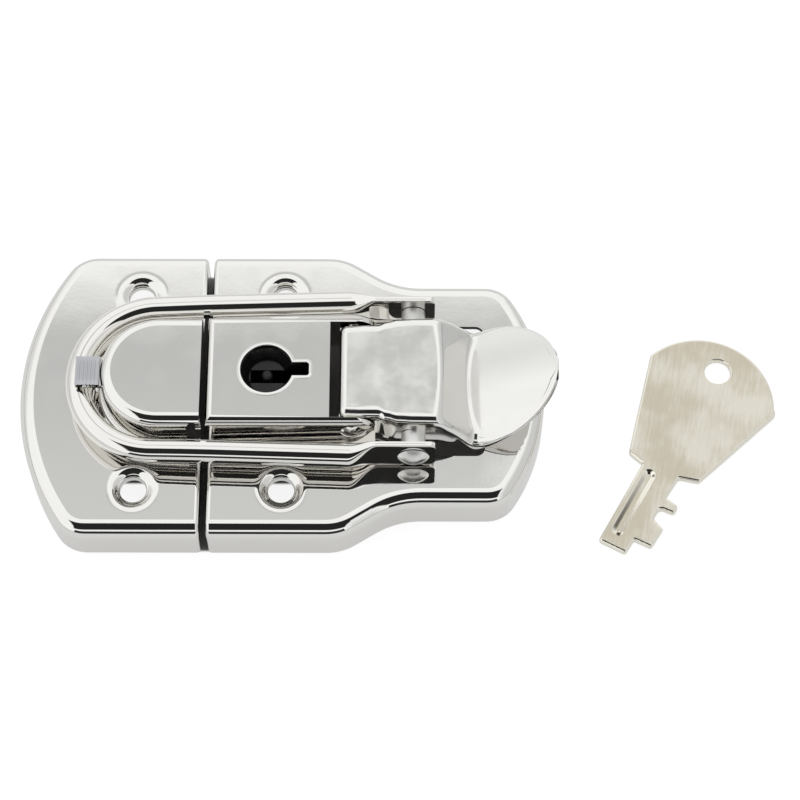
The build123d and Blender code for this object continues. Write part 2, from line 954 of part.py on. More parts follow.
# Rotor: a black bowl under the keyhole, slotted for the blade, with the crank pin that moves the bolt
rotor_bottom = ward_bottom + ward_thickness + case_clearance
rotor_top = raised_top - sheet - case_clearance
crank_angle = math.radians(crank_start_angle)
crank_place = (
    crank_radius * math.cos(crank_angle),
    crank_radius * math.sin(crank_angle),
)

with BuildPart() as lock_rotor:
    with BuildSketch(Plane.XY.offset(rotor_floor)):
        Circle(rotor_radius)
    extrude(amount=rotor_top - rotor_floor)
    with BuildSketch(Plane.XY.offset(rotor_bottom)):
        Circle(rotor_radius)
        Circle(rotor_radius - rotor_skirt, mode=Mode.SUBTRACT)
    extrude(amount=rotor_floor - rotor_bottom)
    with BuildSketch(Plane.XZ):
        with BuildLine():
            Polyline(
                (0, bowl_floor_z),
                (bowl_floor_radius, bowl_floor_z),
                (bowl_radius, rotor_top),
                (0, rotor_top),
                close=True,
            )
        make_face()
    revolve(axis=Axis.Z, mode=Mode.SUBTRACT)
    with BuildSketch(Plane.XY.offset(bolt_bottom)):
        with Locations(crank_place):
            Circle(crank_pin_radius)
    extrude(amount=(rotor_floor + bowl_floor_z) / 2 - bolt_bottom)
    with BuildSketch(Plane.XY.offset(rotor_bottom)):
        with Locations((-blade_back, 0)):
            Rectangle(
                blade_back + 2 * rotor_radius,
                blade_slot,
                align=(Align.MIN, Align.CENTER),
            )
    extrude(amount=raised_top, mode=Mode.SUBTRACT)

with BuildPart() as lock_bolt:
    with BuildSketch(Plane.XY.offset(bolt_bottom)):
        with Locations((bolt_arm_left, -bolt_arm_outer)):
            Rectangle(
                bolt_arm_right - bolt_arm_left,
                bolt_arm_outer - bolt_arm_inner,
                align=(Align.MIN, Align.MIN),
            )
        with Locations((bolt_arm_right - bolt_half_width, -bolt_half_width)):
            Rectangle(
                bolt_tip_x - bolt_arm_right + bolt_half_width,
                bolt_half_width - bolt_arm_inner,
                align=(Align.MIN, Align.MIN),
            )
        with Locations((bolt_notch_x, 0)):
            Rectangle(
                bolt_tip_x - bolt_notch_x,
                2 * bolt_half_width,
                align=(Align.MIN, Align.CENTER),
            )
        # Slot of the crank pin, open towards the key
        with Locations((crank_place[0], -bolt_arm_inner)):
            Rectangle(
                2 * (crank_pin_radius + bolt_slot_clearance),
                crank_radius + crank_pin_radius + bolt_slot_clearance - bolt_arm_inner,
                align=(Align.CENTER, Align.MAX),
                mode=Mode.SUBTRACT,
            )
        # Notches for the spring's crest at the two ends of the throw
        with Locations((0, -bolt_arm_outer), (-bolt_travel, -bolt_arm_outer)):
            Circle(detent_radius, mode=Mode.SUBTRACT)
    extrude(amount=bolt_thickness)

# Bowed leaf spring beside the bolt, standing on edge
spring_crest_y = -bolt_arm_outer - spring_clearance - spring_sheet / 2
with BuildPart() as bolt_spring:
    with BuildSketch(Plane.XY.offset(bolt_bottom)):
        with BuildLine():
            ThreePointArc(
                (-spring_length / 2, spring_crest_y - spring_rise),
                (0, spring_crest_y),
                (spring_length / 2, spring_crest_y - spring_rise),
            )
            offset(amount=spring_sheet / 2, side=Side.BOTH)
        make_face()
    extrude(amount=spring_height)

with BuildPart() as lock_cover:
    with BuildSketch():
        with Locations((case_left + cover_margin, 0)):
            Rectangle(
                case_right - case_left - 2 * cover_margin,
                2 * (case_half_width - cover_margin),
                align=(Align.MIN, Align.CENTER),
            )
        fillet(vertices(), case_corner)
    extrude(amount=cover_thickness)
    with BuildSketch(Plane.XY.offset(cover_thickness - post_seat_depth)):
        Circle(post_radius)
    extrude(amount=post_seat_depth, mode=Mode.SUBTRACT)
    with BuildSketch():
        with Locations(*screw_places):
            Circle(screw_radius)
    extrude(amount=cover_thickness, mode=Mode.SUBTRACT)
    with BuildSketch():
        with Locations(*screw_places):
            Circle(screw_head_radius)
    extrude(amount=screw_head_height, mode=Mode.SUBTRACT)

with BuildPart() as key_post:
    with BuildSketch(Plane.XY.offset(cover_thickness - post_seat_depth)):
        Circle(post_radius)
    extrude(amount=post_top - cover_thickness + post_seat_depth)
    with BuildSketch(Plane.XY.offset(cover_thickness)):
        Circle(post_foot_radius)
    extrude(amount=post_foot_height)
    chamfer(key_post.edges().sort_by(Axis.Z)[-1], post_radius / 3)


def cover_screw(place):
    """A screw with its flat head flush in the cover."""
    with BuildPart() as screw:
        with BuildSketch():
            with Locations(place):
                Circle(screw_head_radius)
        extrude(amount=screw_head_height)
        with BuildSketch(Plane.XY.offset(screw_head_height)):
            with Locations(place):
                Circle(screw_radius)
        extrude(amount=screw_length)
        with BuildSketch():
            with Locations(place):
                Rectangle(2 * screw_head_radius, screw_head_radius / 3)
        extrude(amount=screw_head_height / 2, mode=Mode.SUBTRACT)
    return screw.part


# Key: a flat stamping with a fan-shaped bow, a ring hole, a stepped bit and a pressed rib

key_plane = Plane(
    origin=(key_x, key_y, 0),
    x_dir=(math.cos(math.radians(key_lean)), math.sin(math.radians(key_lean)), 0),
    z_dir=(0, 0, 1),
)
bow_end = key_bow_centre + 2 * key_bow_radius
bow_left_end = key_bow_left + (bow_end - key_bow_start) * math.tan(
    math.radians(key_bow_left_angle)
)
bow_right_end = key_bow_right + (bow_end - key_bow_start) * math.tan(
    math.radians(key_bow_right_angle)
)

with BuildPart() as key:
    with BuildSketch(key_plane):
        with Locations((key_bow_centre, 0)):
            Circle(key_bow_radius)
        with BuildSketch(mode=Mode.INTERSECT):
            with BuildLine():
                Polyline(
                    (key_bow_start, -key_bow_right),
                    (bow_end, -bow_right_end),
                    (bow_end, bow_left_end),
                    (key_bow_start, key_bow_left),
                    close=True,
                )
            make_face()
        fillet(vertices(), 2 * key_corner_radius)
        with Locations((0, (key_blade_left - key_blade_right) / 2)):
            Rectangle(
                key_bow_centre,
                key_blade_left + key_blade_right,
                align=(Align.MIN, Align.CENTER),
            )
        for start, end in zip(key_bit_starts, key_bit_ends):
            with Locations(((start + end) / 2, 0)):
                Rectangle(
                    end - start, key_bit_reach, align=(Align.CENTER, Align.MAX)
                )
        with Locations((key_bit_ends[0], 0)):
            Rectangle(
                key_bit_starts[1] - key_bit_ends[0],
                key_gap_reach,
                align=(Align.MIN, Align.MAX),
            )
        blade_tip = vertices().sort_by(Axis.Y)[:1]
        fillet(blade_tip, key_corner_radius / 2)
        with Locations((key_ring_u, key_ring_v)):
            Circle(key_ring_radius, mode=Mode.SUBTRACT)
    extrude(amount=key_thickness)


# Each finished piece in its own file

keeper_plate.part.label = "keeper_plate"
export_step(keeper_plate.part, "parts/keeper_plate.step")

base_plate.part.label = "base_plate"
export_step(base_plate.part, "parts/base_plate.step")

lever.part.label = "lever"
export_step(lever.part, "parts/lever.step")

bail.part.label = "bail"
export_step(bail.part, "parts/bail.step")

lever_pivot_near.part.label = "lever_pivot_near"
export_step(lever_pivot_near.part, "parts/lever_pivot_near.step")

lever_pivot_far.part.label = "lever_pivot_far"
export_step(lever_pivot_far.part, "parts/lever_pivot_far.step")

bail_pivot_near.part.label = "bail_pivot_near"
export_step(bail_pivot_near.part, "parts/bail_pivot_near.step")

bail_pivot_far.part.label = "bail_pivot_far"
export_step(bail_pivot_far.part, "parts/bail_pivot_far.step")

lock_body.part.label = "lock_body"
export_step(lock_body.part, "parts/lock_body.step")

lock_top.part.label = "lock_top"
export_step(lock_top.part, "parts/lock_top.step")

ward_plate.part.label = "ward_plate"
export_step(ward_plate.part, "parts/ward_plate.step")

lock_rotor.part.label = "lock_rotor"
export_step(lock_rotor.part, "parts/lock_rotor.step")

lock_bolt.part.label = "lock_bolt"
export_step(lock_bolt.part, "parts/lock_bolt.step")

bolt_spring.part.label = "bolt_spring"
export_step(bolt_spring.part, "parts/bolt_spring.step")

lock_cover.part.label = "lock_cover"
export_step(lock_cover.part, "parts/lock_cover.step")

key_post.part.label = "key_post"
export_step(key_post.part, "parts/key_post.step")

key.part.label = "key"
export_step(key.part, "parts/key.step")

for number, place in enumerate(screw_places, 1):
    screw = cover_screw(place)
    screw.label = f"cover_screw_{number}"
    export_step(screw, f"parts/cover_screw_{number}.step")
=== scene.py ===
"""Draw latch with a key: chromed pressed steel on a white table, seen from the front and well above.

Lengths are in millimetres where MM doesn't scale them. The keeper is at low x and the thumb tab at high x.
Heights are above the table.
"""

import math

import bpy
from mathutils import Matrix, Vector
from mathutils.geometry import delaunay_2d_cdt


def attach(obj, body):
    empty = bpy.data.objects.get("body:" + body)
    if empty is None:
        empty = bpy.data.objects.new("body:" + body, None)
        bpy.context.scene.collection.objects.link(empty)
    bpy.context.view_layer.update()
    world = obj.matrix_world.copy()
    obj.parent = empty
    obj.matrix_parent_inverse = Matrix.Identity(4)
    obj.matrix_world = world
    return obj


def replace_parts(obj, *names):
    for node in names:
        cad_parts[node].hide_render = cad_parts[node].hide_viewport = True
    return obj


MM = 0.001
DEGREE = math.radians(1.0)
QUARTER = math.pi / 2
WHITE = (1.0, 1.0, 1.0, 1.0)

# Camera
AIM = Vector((21.969, 2.150, 0.0)) * MM
DISTANCE = 450.7 * MM
AZIMUTH = math.radians(0.140)
ELEVATION = math.radians(64.531)
LENS = 118.94
SENSOR = 36.0
CLIP_START = 0.01

# Room that the chrome mirrors: levels of white
WALLS = 1.0
OVERHEAD_GREY = 0.57
NEARER_GREY = 0.66
LEFT_GREY = 0.76
RIGHT_GREY = 0.66
CAMERA_DARK = 0.02
LOW_DARK = 0.03

# Where the room's levels change: a lean is a direction's angle from straight up towards the front, and
# the other values are parts of a direction of length 1
GREY_LEANS = (-27.6 * DEGREE, -20.5 * DEGREE)
GREY_LEAN_SOFT = 0.9 * DEGREE
GREY_SIDES = (-0.19, 0.018)
GREY_SIDE_SOFT = 0.015
GREY_CHANGE = (-26.8 * DEGREE, -22.8 * DEGREE)
SIDE_WALL_START = 0.45
SIDE_WALL_FULL = 0.75
LEFT_LEANS = (-30.0 * DEGREE, -56.0 * DEGREE)
DARK_LEANS = (7.0 * DEGREE, 57.0 * DEGREE)
DARK_LEAN_SOFT = 1.2 * DEGREE
DARK_SIDE = 0.48
DARK_SIDE_SOFT = 0.03
FRONT_CHANGE = (0.2, 0.4)
LOW_EDGE = 0.03
LOW_EDGE_IN_FRONT = 0.34
LOW_EDGE_SOFT = 0.02
CLOUD_SCALE = 5.0
CLOUD_ON_EDGE = 0.25
CLOUD_ON_WALLS = 0.12

# Floor, with painted shade: the places under the box and under the gap between the plates don't glow and
# stay dark
FLOOR_SIZE = 6.0
FLOOR_DROP = 0.02 * MM
FLOOR_COLOUR = (0.26, 0.26, 0.26, 1.0)
FLOOR_GLOW = 0.88
FLOOR_MIRRORED = 0.54
UNDER_BOX_X = (-28.0 * MM, 42.0 * MM)
UNDER_BOX_Y = (13.2 * MM, 13.8 * MM)
UNDER_BOX_SOFT = 0.3 * MM
UNDER_GAP_X = (-11.4 * MM, -9.4 * MM)
UNDER_GAP_Y = 25.7 * MM
UNDER_GAP_SOFT = 0.1 * MM

# Chrome: noise scales per metre, darker where it faces down for thinner plating there and as painted
# shade, and painted shade on the lever's ramp
CHROME_CLOUD = 240.0
CHROME_CLOUD_RANGE = (0.35, 0.75)
CHROME_ROUGHER = 2.5
CHROME_SWELL = 110.0
CHROME_PEEL = 1500.0
BRIGHT = (0.88, 0.875, 0.85, 1.0)
DOWN_FACING = (0.3, -0.6)
DOWN_PLATING_AND_SHADE_TONE = (0.82, 0.80, 0.79)
RAMP_FACING = (0.55, 0.75)
RAMP_SHADE_TONE = 0.76

# Grain of the plain finishes
GRAIN_SCALE = 900.0
GRAIN_RANGE = (0.3, 0.7)
GRAIN_SMOOTHER = 0.8
GRAIN_ROUGHER = 1.25

# Nickel of the key: brushed at a turn, with darker patches, bright edges and painted shade in the groove
BRUSH_TURN = math.radians(12.0)
BRUSH_SCALE = (2600.0, 260.0, 260.0)
BRUSH_SHARE = 0.35
PATCH_SCALE = 130.0
PATCH_SHARE = 0.9
PATCH_RANGE = (0.45, 0.8)
NICKEL = (0.76, 0.73, 0.64, 1.0)
NICKEL_PATCH = (0.61, 0.56, 0.45, 1.0)
NICKEL_EDGE = (0.97, 0.94, 0.84, 1.0)
# Painted shade: the colour of the groove's shaded wall and of the pit
NICKEL_PAINTED_SHADE = (0.10, 0.085, 0.06, 1.0)
FLAT_FACING = (0.9, 0.99)
EDGE_TO_FLAT_ROUGHNESS = (0.12, 0.27)

# Where the key's painted shade lies, along the blade and across it from the groove's centre line
GROOVE_SHADE_U = (3.9 * MM, 14.6 * MM)
GROOVE_SHADE_U_SOFT = 0.5 * MM
GROOVE_SHADE_V = (0.35 * MM, 0.95 * MM)
GROOVE_SHADE_V_SOFT = 0.15 * MM
GROOVE_SHADE_FADE_U = (16.0 * MM, 5.0 * MM)
GROOVE_SHADE_FADE = (0.25, 0.85)
PIT_U = (3.0 * MM, 3.7 * MM)
PIT_U_SOFT = 0.12 * MM
PIT_V = (-0.75 * MM, -0.1 * MM)
PIT_V_SOFT = 0.1 * MM

# Bail: a bent round rod whose ends are pressed flat into ears
ROD_RADIUS = 2.0
ROD_SIDES = 48
LOOP_CENTRE = -18.45
LOOP_RADIUS = 13.05
ARM_SPREAD = math.radians(1.7)
LOOP_HEIGHT = 12.25
ARM_HEIGHT = 12.87
ARM_RISE_X = (-31.5, -8.0)
PRESS_START = 13.4
PRESS_END = 18.4
PRESS_SQUARENESS = 0.86
EAR_INNER = 12.8
EAR_HALF_THICKNESS = 0.475
EAR_BOTTOM = 8.8
EAR_TOP = 15.9
EAR_END = 27.8
EAR_CORNER = 1.0

# Rounded edges of the keeper's dome and of the lock box
DOME_CENTRE_X = -17.8
DOME_HALF_WIDTH = 9.9
DOME_EDGE = 1.4
DOME_FULL_EDGE = 1.95
BOX_HALF_WIDTH = 9.8
BOX_TOP = 16.4
BOX_EDGE = 1.05
BOX_FULL_EDGE = 1.4
BOX_EARS_X = 10.35
BOX_EAR_FACE = 8.75
ARC_TOLERANCE = 0.02

# Screw holes: pressed dimples in place of the plain cones
PLATE_TOP = 8.2
SCREW_X = (-22.0, 2.4)
SCREW_Y = 17.8
HOLE_RADIUS = 2.2
CONE_RADIUS = 4.9
CONE_DEPTH = 1.2
CONE_MARGIN = 0.05
LEVEL_TOLERANCE = 0.01
DIMPLE_RADIUS = CONE_RADIUS + 0.03
DIMPLE_THROAT = 2.5
DIMPLE_TOP = PLATE_TOP - 0.002
DIMPLE_DEPTH = 0.8
DIMPLE_POWER = 3.2
DIMPLE_SIDES = 96

# Hook of the keeper, with drawn ridges
HOOK_TIP_X = -31.6
HOOK_END_X = -27.6
HOOK_TIP_FADE = 0.5
HOOK_END_FADE = 0.6
HOOK_TOP = 15.55
HOOK_HALF_WIDTH = 2.62
HOOK_SKIN = 0.02
HOOK_STEP = 0.05
HOOK_RIDGE = 0.13
HOOK_PITCH = 0.62
HOOK_CROWN_POWER = 8

# Lever: a pressed channel that falls to a fold and rises again into a crowned thumb tab
LEVER_TOP = 16.6
LEVER_SHEET = 1.0
LEVER_SIDES = (
    (12.0, 8.45),
    (16.0, 8.6),
    (18.3, 8.63),
    (19.8, 9.2),
    (21.6, 9.65),
    (24.5, 9.8),
    (28.0, 9.85),
    (31.0, 10.2),
    (33.5, 10.5),
    (36.2, 10.65),
)
NOSE_X = 12.0
NOSE_RADIUS = 1.3
NOSE_DROP = 0.16
NOSE_DROP_X = (12.5, 18.0)
HOLLOW_DEPTH = 0.05
HOLLOW_X = 21.0
HOLLOW_SPREAD = (30.0, 40.0)
WAVE_HEIGHT = 0.012
WAVE_RATES = (0.9, 0.35)
RIDGE_X = 28.9
RIDGE_BOW = 0.9
RIDGE_SOFT = 0.9
RAMP_SLOPE = 1.476
RAMP_SLOPE_BOW = 0.62
RAMP_HALF_WIDTH = 10.5
FOLD_X = 33.1
FOLD_Z = 10.4
FOLD_SOFT = 1.1
TAB_CENTRE_X = 36.2
TAB_TIP_X = 47.9
TAB_LAST_TURN = math.radians(88.6)
TAB_HALF_WIDTH = 10.65
TAB_RISE = 0.517
TAB_CROWN = 34.0
TAB_THINNING = 0.4

# Rolled edges, flanges and nose wall of the lever
ROLL = 1.6
ROLL_AT_FOLD = 0.8
ROLL_FOLD_X = 34.2
ROLL_FOLD_SPREAD = 2.0
ROLL_LOSS = 1.25
ROLL_LOSS_X = (36.0, 41.0)
ROLL_SHARE = 0.6
FLANGE_BOTTOM = 9.3
FLANGE_END = 31.6
FLANGE_CORNER = 2.0
FLANGE_BLEND = 0.6
FLANGE_LEAST = 0.2
NOSE_LIP = 15.1
NOSE_LIP_HALF_WIDTH = 8.2
TONGUE_HALF_WIDTH = 6.4
TONGUE_BOTTOM = 7.6
TONGUE_EDGE = 0.15
BOLT_SLOT_Y = (-2.7, 2.7)
BOLT_SLOT_Z = (8.4, 10.2)

# Key: its outline in its own frame, along the blade and across it, as corners with their radii
KEY_ORIGIN = (55.7, -25.26)
KEY_LEAN = math.radians(56.0)
KEY_TOP = 1.4
KEY_BOTTOM = 0.0
KEY_UPPER_EDGE = 0.55
KEY_LOWER_EDGE = 0.3
KEY_BOW_U = 31.2
KEY_BOW_V = 0.15
KEY_BOW_RADIUS = 12.5
KEY_BOW_RIGHT = (37.2, -11.5, 1.2)
KEY_BOW_LEFT = (34.6, 12.25, 0.9)
KEY_LOWER = (
    (0.55, 1.35, 0.6),
    (1.1, -3.7, 0.5),
    (3.95, -3.6, 0.25),
    (4.35, -6.7, 0.45),
    (8.3, -6.6, 0.45),
    (9.0, -4.2, 0.7),
    (11.2, -4.15, 0.8),
    (11.6, -6.65, 0.6),
    (13.3, -6.6, 0.9),
    (13.4, -4.0, 0.3),
    (17.6, -3.9, 0.5),
    (18.9, -7.1, 0.7),
)
KEY_UPPER = (
    (16.9, 5.6, 0.9),
    (16.5, 2.65, 0.3),
)
KEY_RING = (38.25, 1.05)
KEY_RING_RADIUS = 2.2
KEY_RING_EDGE = 0.5
GROOVE_ENDS = ((4.1, -0.38), (15.2, 0.52))
GROOVE_HALF_WIDTH = 1.25
GROOVE_WALL = 1.0
GROOVE_DEPTH = 0.5
SAME_PLACE = 1e-7

# Keyhole, and the section of its burr as distances outwards and upwards from the hole's edge
KEYHOLE_RADIUS = 4.35
SLOT_HALF_WIDTH = 1.2
SLOT_END = 7.0
SLOT_CORNER = 0.48
BURR = (
    (0.0, -0.12),
    (0.01, -0.02),
    (0.05, 0.008),
    (0.25, 0.03),
    (0.44, 0.048),
    (0.50, 0.045),
    (0.56, 0.0),
    (0.56, -0.12),
)

# Steps along the curved stretches of the meshes
LOOP_STEPS = 48
ARM_STEPS = 40
PRESS_STEPS = 28
EAR_STEPS = 8
EAR_CORNER_STEPS = 10
DIMPLE_STEPS = 16
THROAT_STEPS = 5
HOOK_ROWS = 72
HOOK_COLUMNS = 11
NOSE_STEPS = 12
LEVER_STEPS = 84
TAB_STEPS = 48
FLANGE_STEPS = 7
ROLL_STEPS = 8
TOP_STEPS = 40
KEY_UPPER_STEPS = 6
KEY_LOWER_STEPS = 4
KEY_CORNER_STEPS = 8
KEY_BOW_STEPS = 40
KEY_RING_STEPS = 64
GROOVE_END_STEPS = 16
GROOVE_WALL_STEPS = 8
KEYHOLE_STEPS = 72
SLOT_CORNER_STEPS = 8


def nodes_of(tree):
    """A maker of a tree's nodes, which also sets their properties and their inputs, by name or number."""

    def make(kind, settings=None, **inputs):
        node = tree.nodes.new(kind)
        for name, value in (settings or {}).items():
            setattr(node, name, value)
        for name, value in inputs.items():
            socket = node.inputs[int(name[1:]) if name[0] == "_" else name.replace("_", " ")]
            if isinstance(value, bpy.types.NodeSocket):
                tree.links.new(value, socket)
            else:
                socket.default_value = value
        return node

    return make


def maths(make, operation, a, b=0.0, c=0.0, clamp=False):
    """One Math node's output."""
    node = make("ShaderNodeMath", {"operation": operation, "use_clamp": clamp}, _0=a, _1=b, _2=c)
    return node.outputs[0]


def both(make, a, b):
    """The product of two values: of two masks, the part that they share."""
    return maths(make, "MULTIPLY", a, b)


def smooth_step(make, value, low, high, start=0.0, end=1.0):
    """A smooth change from start to end as the value goes from low to high."""
    node = make(
        "ShaderNodeMapRange",
        {"interpolation_type": "SMOOTHSTEP"},
        Value=value,
        From_Min=low,
        From_Max=high,
        To_Min=start,
        To_Max=end,
    )
    return node.outputs[0]


def between(make, value, low, high, soft):
    """1 between two values and 0 outside them, with soft edges."""
    rise = smooth_step(make, value, low - soft, low + soft)
    fall = smooth_step(make, value, high - soft, high + soft, 1.0, 0.0)
    return both(make, rise, fall)


def mixed(make, factor, a, b):
    """A float mixed from a to b."""
    node = make("ShaderNodeMix", {"data_type": "FLOAT"}, _0=factor, _2=a, _3=b)
    return node.outputs[0]


def mixed_colour(make, factor, a, b):
    """A colour mixed from a to b."""
    node = make("ShaderNodeMix", {"data_type": "RGBA"}, _0=factor, _6=a, _7=b)
    return node.outputs[2]


def noise(make, place, scale, detail):
    """A noise's level at a place."""
    node = make("ShaderNodeTexNoise", Vector=place, Scale=scale, Detail=detail)
    return node.outputs["Fac"]


def white_room():
    """The world: white walls, greyer sides, a grey field overhead, a dark gap and a dark low front."""
    world = bpy.data.worlds.new("white_room")
    bpy.context.scene.world = world
    world.use_nodes = True
    world.node_tree.nodes.clear()
    make = nodes_of(world.node_tree)
    way = make("ShaderNodeTexCoord").outputs["Generated"]
    parts = make("ShaderNodeSeparateXYZ", Vector=way)
    side = parts.outputs["X"]
    height = parts.outputs["Z"]
    front = maths(make, "MULTIPLY", parts.outputs["Y"], -1.0)
    lean = maths(make, "ARCTAN2", front, height)
    drift = maths(make, "SUBTRACT", noise(make, way, CLOUD_SCALE, detail=2.0), 0.5)
    wavy_side = maths(make, "ADD", side, maths(make, "MULTIPLY", drift, CLOUD_ON_EDGE))
    walls = maths(make, "ADD", maths(make, "MULTIPLY", drift, CLOUD_ON_WALLS), WALLS)

    grey = both(
        make,
        between(make, lean, *GREY_LEANS, GREY_LEAN_SOFT),
        between(make, wavy_side, *GREY_SIDES, GREY_SIDE_SOFT),
    )
    field = smooth_step(make, lean, *GREY_CHANGE, OVERHEAD_GREY, NEARER_GREY)
    level = mixed(make, grey, walls, field)

    left = smooth_step(make, side, -SIDE_WALL_START, -SIDE_WALL_FULL)
    left = both(make, left, smooth_step(make, lean, *LEFT_LEANS))
    level = mixed(make, left, level, LEFT_GREY)
    right = smooth_step(make, side, SIDE_WALL_START, SIDE_WALL_FULL)
    level = mixed(make, right, level, RIGHT_GREY)

    middle = between(make, side, -DARK_SIDE, DARK_SIDE, DARK_SIDE_SOFT)
    dark = both(make, between(make, lean, *DARK_LEANS, DARK_LEAN_SOFT), middle)
    level = mixed(make, dark, level, CAMERA_DARK)
    in_front = both(make, smooth_step(make, front, *FRONT_CHANGE), middle)
    edge = mixed(make, in_front, LOW_EDGE, LOW_EDGE_IN_FRONT)
    above = maths(make, "SUBTRACT", height, edge)
    low = smooth_step(make, above, -LOW_EDGE_SOFT, LOW_EDGE_SOFT, 1.0, 0.0)
    level = mixed(make, low, level, LOW_DARK)

    background = make("ShaderNodeBackground", Color=WHITE, Strength=level)
    make("ShaderNodeOutputWorld", Surface=background.outputs[0])


def new_material(name):
    """An empty material and the node maker of its tree."""
    material = bpy.data.materials.new(name)
    material.use_nodes = True
    material.node_tree.nodes.clear()
    return material, nodes_of(material.node_tree)


def surface(make, colour, metallic, roughness, bump):
    """The surface of a material and its output."""
    shader = make(
        "ShaderNodeBsdfPrincipled",
        Base_Color=colour,
        Metallic=metallic,
        Roughness=roughness,
        Normal=bump.outputs[0],
    )
    make("ShaderNodeOutputMaterial", Surface=shader.outputs[0])


def floor_material():
    """White card: it keeps the object's shadow, looks white to the camera and in reflections, and has
    painted shade under the box and the gap.
    """
    material, make = new_material("white_card")
    place = make("ShaderNodeTexCoord").outputs["Object"]
    parts = make("ShaderNodeSeparateXYZ", Vector=place)
    along = parts.outputs["X"]
    across = parts.outputs["Y"]
    # Painted shade: the card doesn't glow under the box and under the gap between the plates, so these
    # stay dark
    box_shade = both(
        make,
        between(make, along, *UNDER_BOX_X, UNDER_BOX_SOFT),
        smooth_step(make, maths(make, "ABSOLUTE", across), *UNDER_BOX_Y, 1.0, 0.0),
    )
    gap_shade = both(
        make,
        between(make, along, *UNDER_GAP_X, UNDER_GAP_SOFT),
        between(make, across, -UNDER_GAP_Y, UNDER_GAP_Y, UNDER_BOX_SOFT),
    )
    card_shade_mask = maths(make, "MAXIMUM", box_shade, gap_shade)
    unshaded_card = maths(make, "SUBTRACT", 1.0, card_shade_mask)
    path = make("ShaderNodeLightPath").outputs
    seen = maths(make, "ADD", path["Is Camera Ray"], path["Is Transmission Ray"], clamp=True)
    seen = maths(make, "MULTIPLY", seen, FLOOR_GLOW)
    seen = maths(make, "MULTIPLY_ADD", path["Is Glossy Ray"], FLOOR_MIRRORED, seen)
    card = make("ShaderNodeBsdfDiffuse", Color=FLOOR_COLOUR)
    glow = make("ShaderNodeEmission", Color=WHITE, Strength=both(make, seen, unshaded_card))
    shader = make("ShaderNodeAddShader", _0=card.outputs[0], _1=glow.outputs[0])
    make("ShaderNodeOutputMaterial", Surface=shader.outputs[0])
    return material


def toned(colour, tones):
    """A colour with its channels scaled."""
    return (*(channel * tone for channel, tone in zip(colour, tones)), 1.0)


def chrome_material(name, colour, roughness, swell, peel, ramp_shade_tone=1.0):
    """Chrome on pressed sheet: a slow swell, a fine orange peel, darker underneath for thinner plating and
    as painted shade, and painted shade on a ramp.
    """
    material, make = new_material(name)
    source = make("ShaderNodeTexCoord")
    place = source.outputs["Object"]
    cloud = noise(make, place, CHROME_CLOUD, detail=4.0)
    rough = smooth_step(make, cloud, *CHROME_CLOUD_RANGE, roughness, roughness * CHROME_ROUGHER)
    height = maths(make, "MULTIPLY", noise(make, place, CHROME_SWELL, detail=1.0), swell)
    height = maths(make, "MULTIPLY_ADD", noise(make, place, CHROME_PEEL, detail=2.0), peel, height)
    bump = make("ShaderNodeBump", Strength=1.0, Distance=0.001, Height=height)
    facing = make("ShaderNodeSeparateXYZ", Vector=source.outputs["Normal"])
    # Painted shade: faces turned down get a darker colour, partly for thinner plating there, and faces of
    # the ramp get a darker colour
    underneath = smooth_step(make, facing.outputs["Z"], *DOWN_FACING)
    tone = mixed_colour(make, underneath, colour, toned(colour, DOWN_PLATING_AND_SHADE_TONE))
    on_ramp = smooth_step(make, facing.outputs["X"], *RAMP_FACING)
    tone = mixed_colour(make, on_ramp, tone, toned(colour, (ramp_shade_tone, ramp_shade_tone, ramp_shade_tone)))
    surface(make, tone, metallic=1.0, roughness=rough, bump=bump)
    return material


def plain_material(name, colour, metallic, roughness):
    """A finish of one colour, with fine grain in its roughness and its surface."""
    material, make = new_material(name)
    place = make("ShaderNodeTexCoord").outputs["Object"]
    grain = noise(make, place, GRAIN_SCALE, detail=4.0)
    smoothest = roughness * GRAIN_SMOOTHER
    rough = smooth_step(make, grain, *GRAIN_RANGE, smoothest, roughness * GRAIN_ROUGHER)
    bump = make("ShaderNodeBump", Strength=0.05, Distance=0.0002, Height=grain)
    surface(make, colour, metallic, rough, bump)
    return material


def key_painted_shade(make, place):
    """Where the key is painted dark as shade: along one wall of its groove, fading towards the bow, and in
    a small pit.
    """
    turned = make("ShaderNodeMapping", {"vector_type": "TEXTURE"}, Vector=place)
    turned.inputs["Location"].default_value = (KEY_ORIGIN[0] * MM, KEY_ORIGIN[1] * MM, 0.0)
    turned.inputs["Rotation"].default_value = (0.0, 0.0, KEY_LEAN)
    local = make("ShaderNodeSeparateXYZ", Vector=turned.outputs[0])
    along = local.outputs["X"]
    (u0, v0), (u1, v1) = GROOVE_ENDS
    slope = (v1 - v0) / (u1 - u0)
    centre = maths(make, "MULTIPLY_ADD", along, slope, (v0 - u0 * slope) * MM)
    across = maths(make, "SUBTRACT", local.outputs["Y"], centre)
    wall = both(
        make,
        between(make, across, *GROOVE_SHADE_V, GROOVE_SHADE_V_SOFT),
        between(make, along, *GROOVE_SHADE_U, GROOVE_SHADE_U_SOFT),
    )
    wall = both(make, wall, smooth_step(make, along, *GROOVE_SHADE_FADE_U, *GROOVE_SHADE_FADE))
    pit = both(
        make,
        between(make, along, *PIT_U, PIT_U_SOFT),
        between(make, across, *PIT_V, PIT_V_SOFT),
    )
    return maths(make, "MAXIMUM", wall, pit)


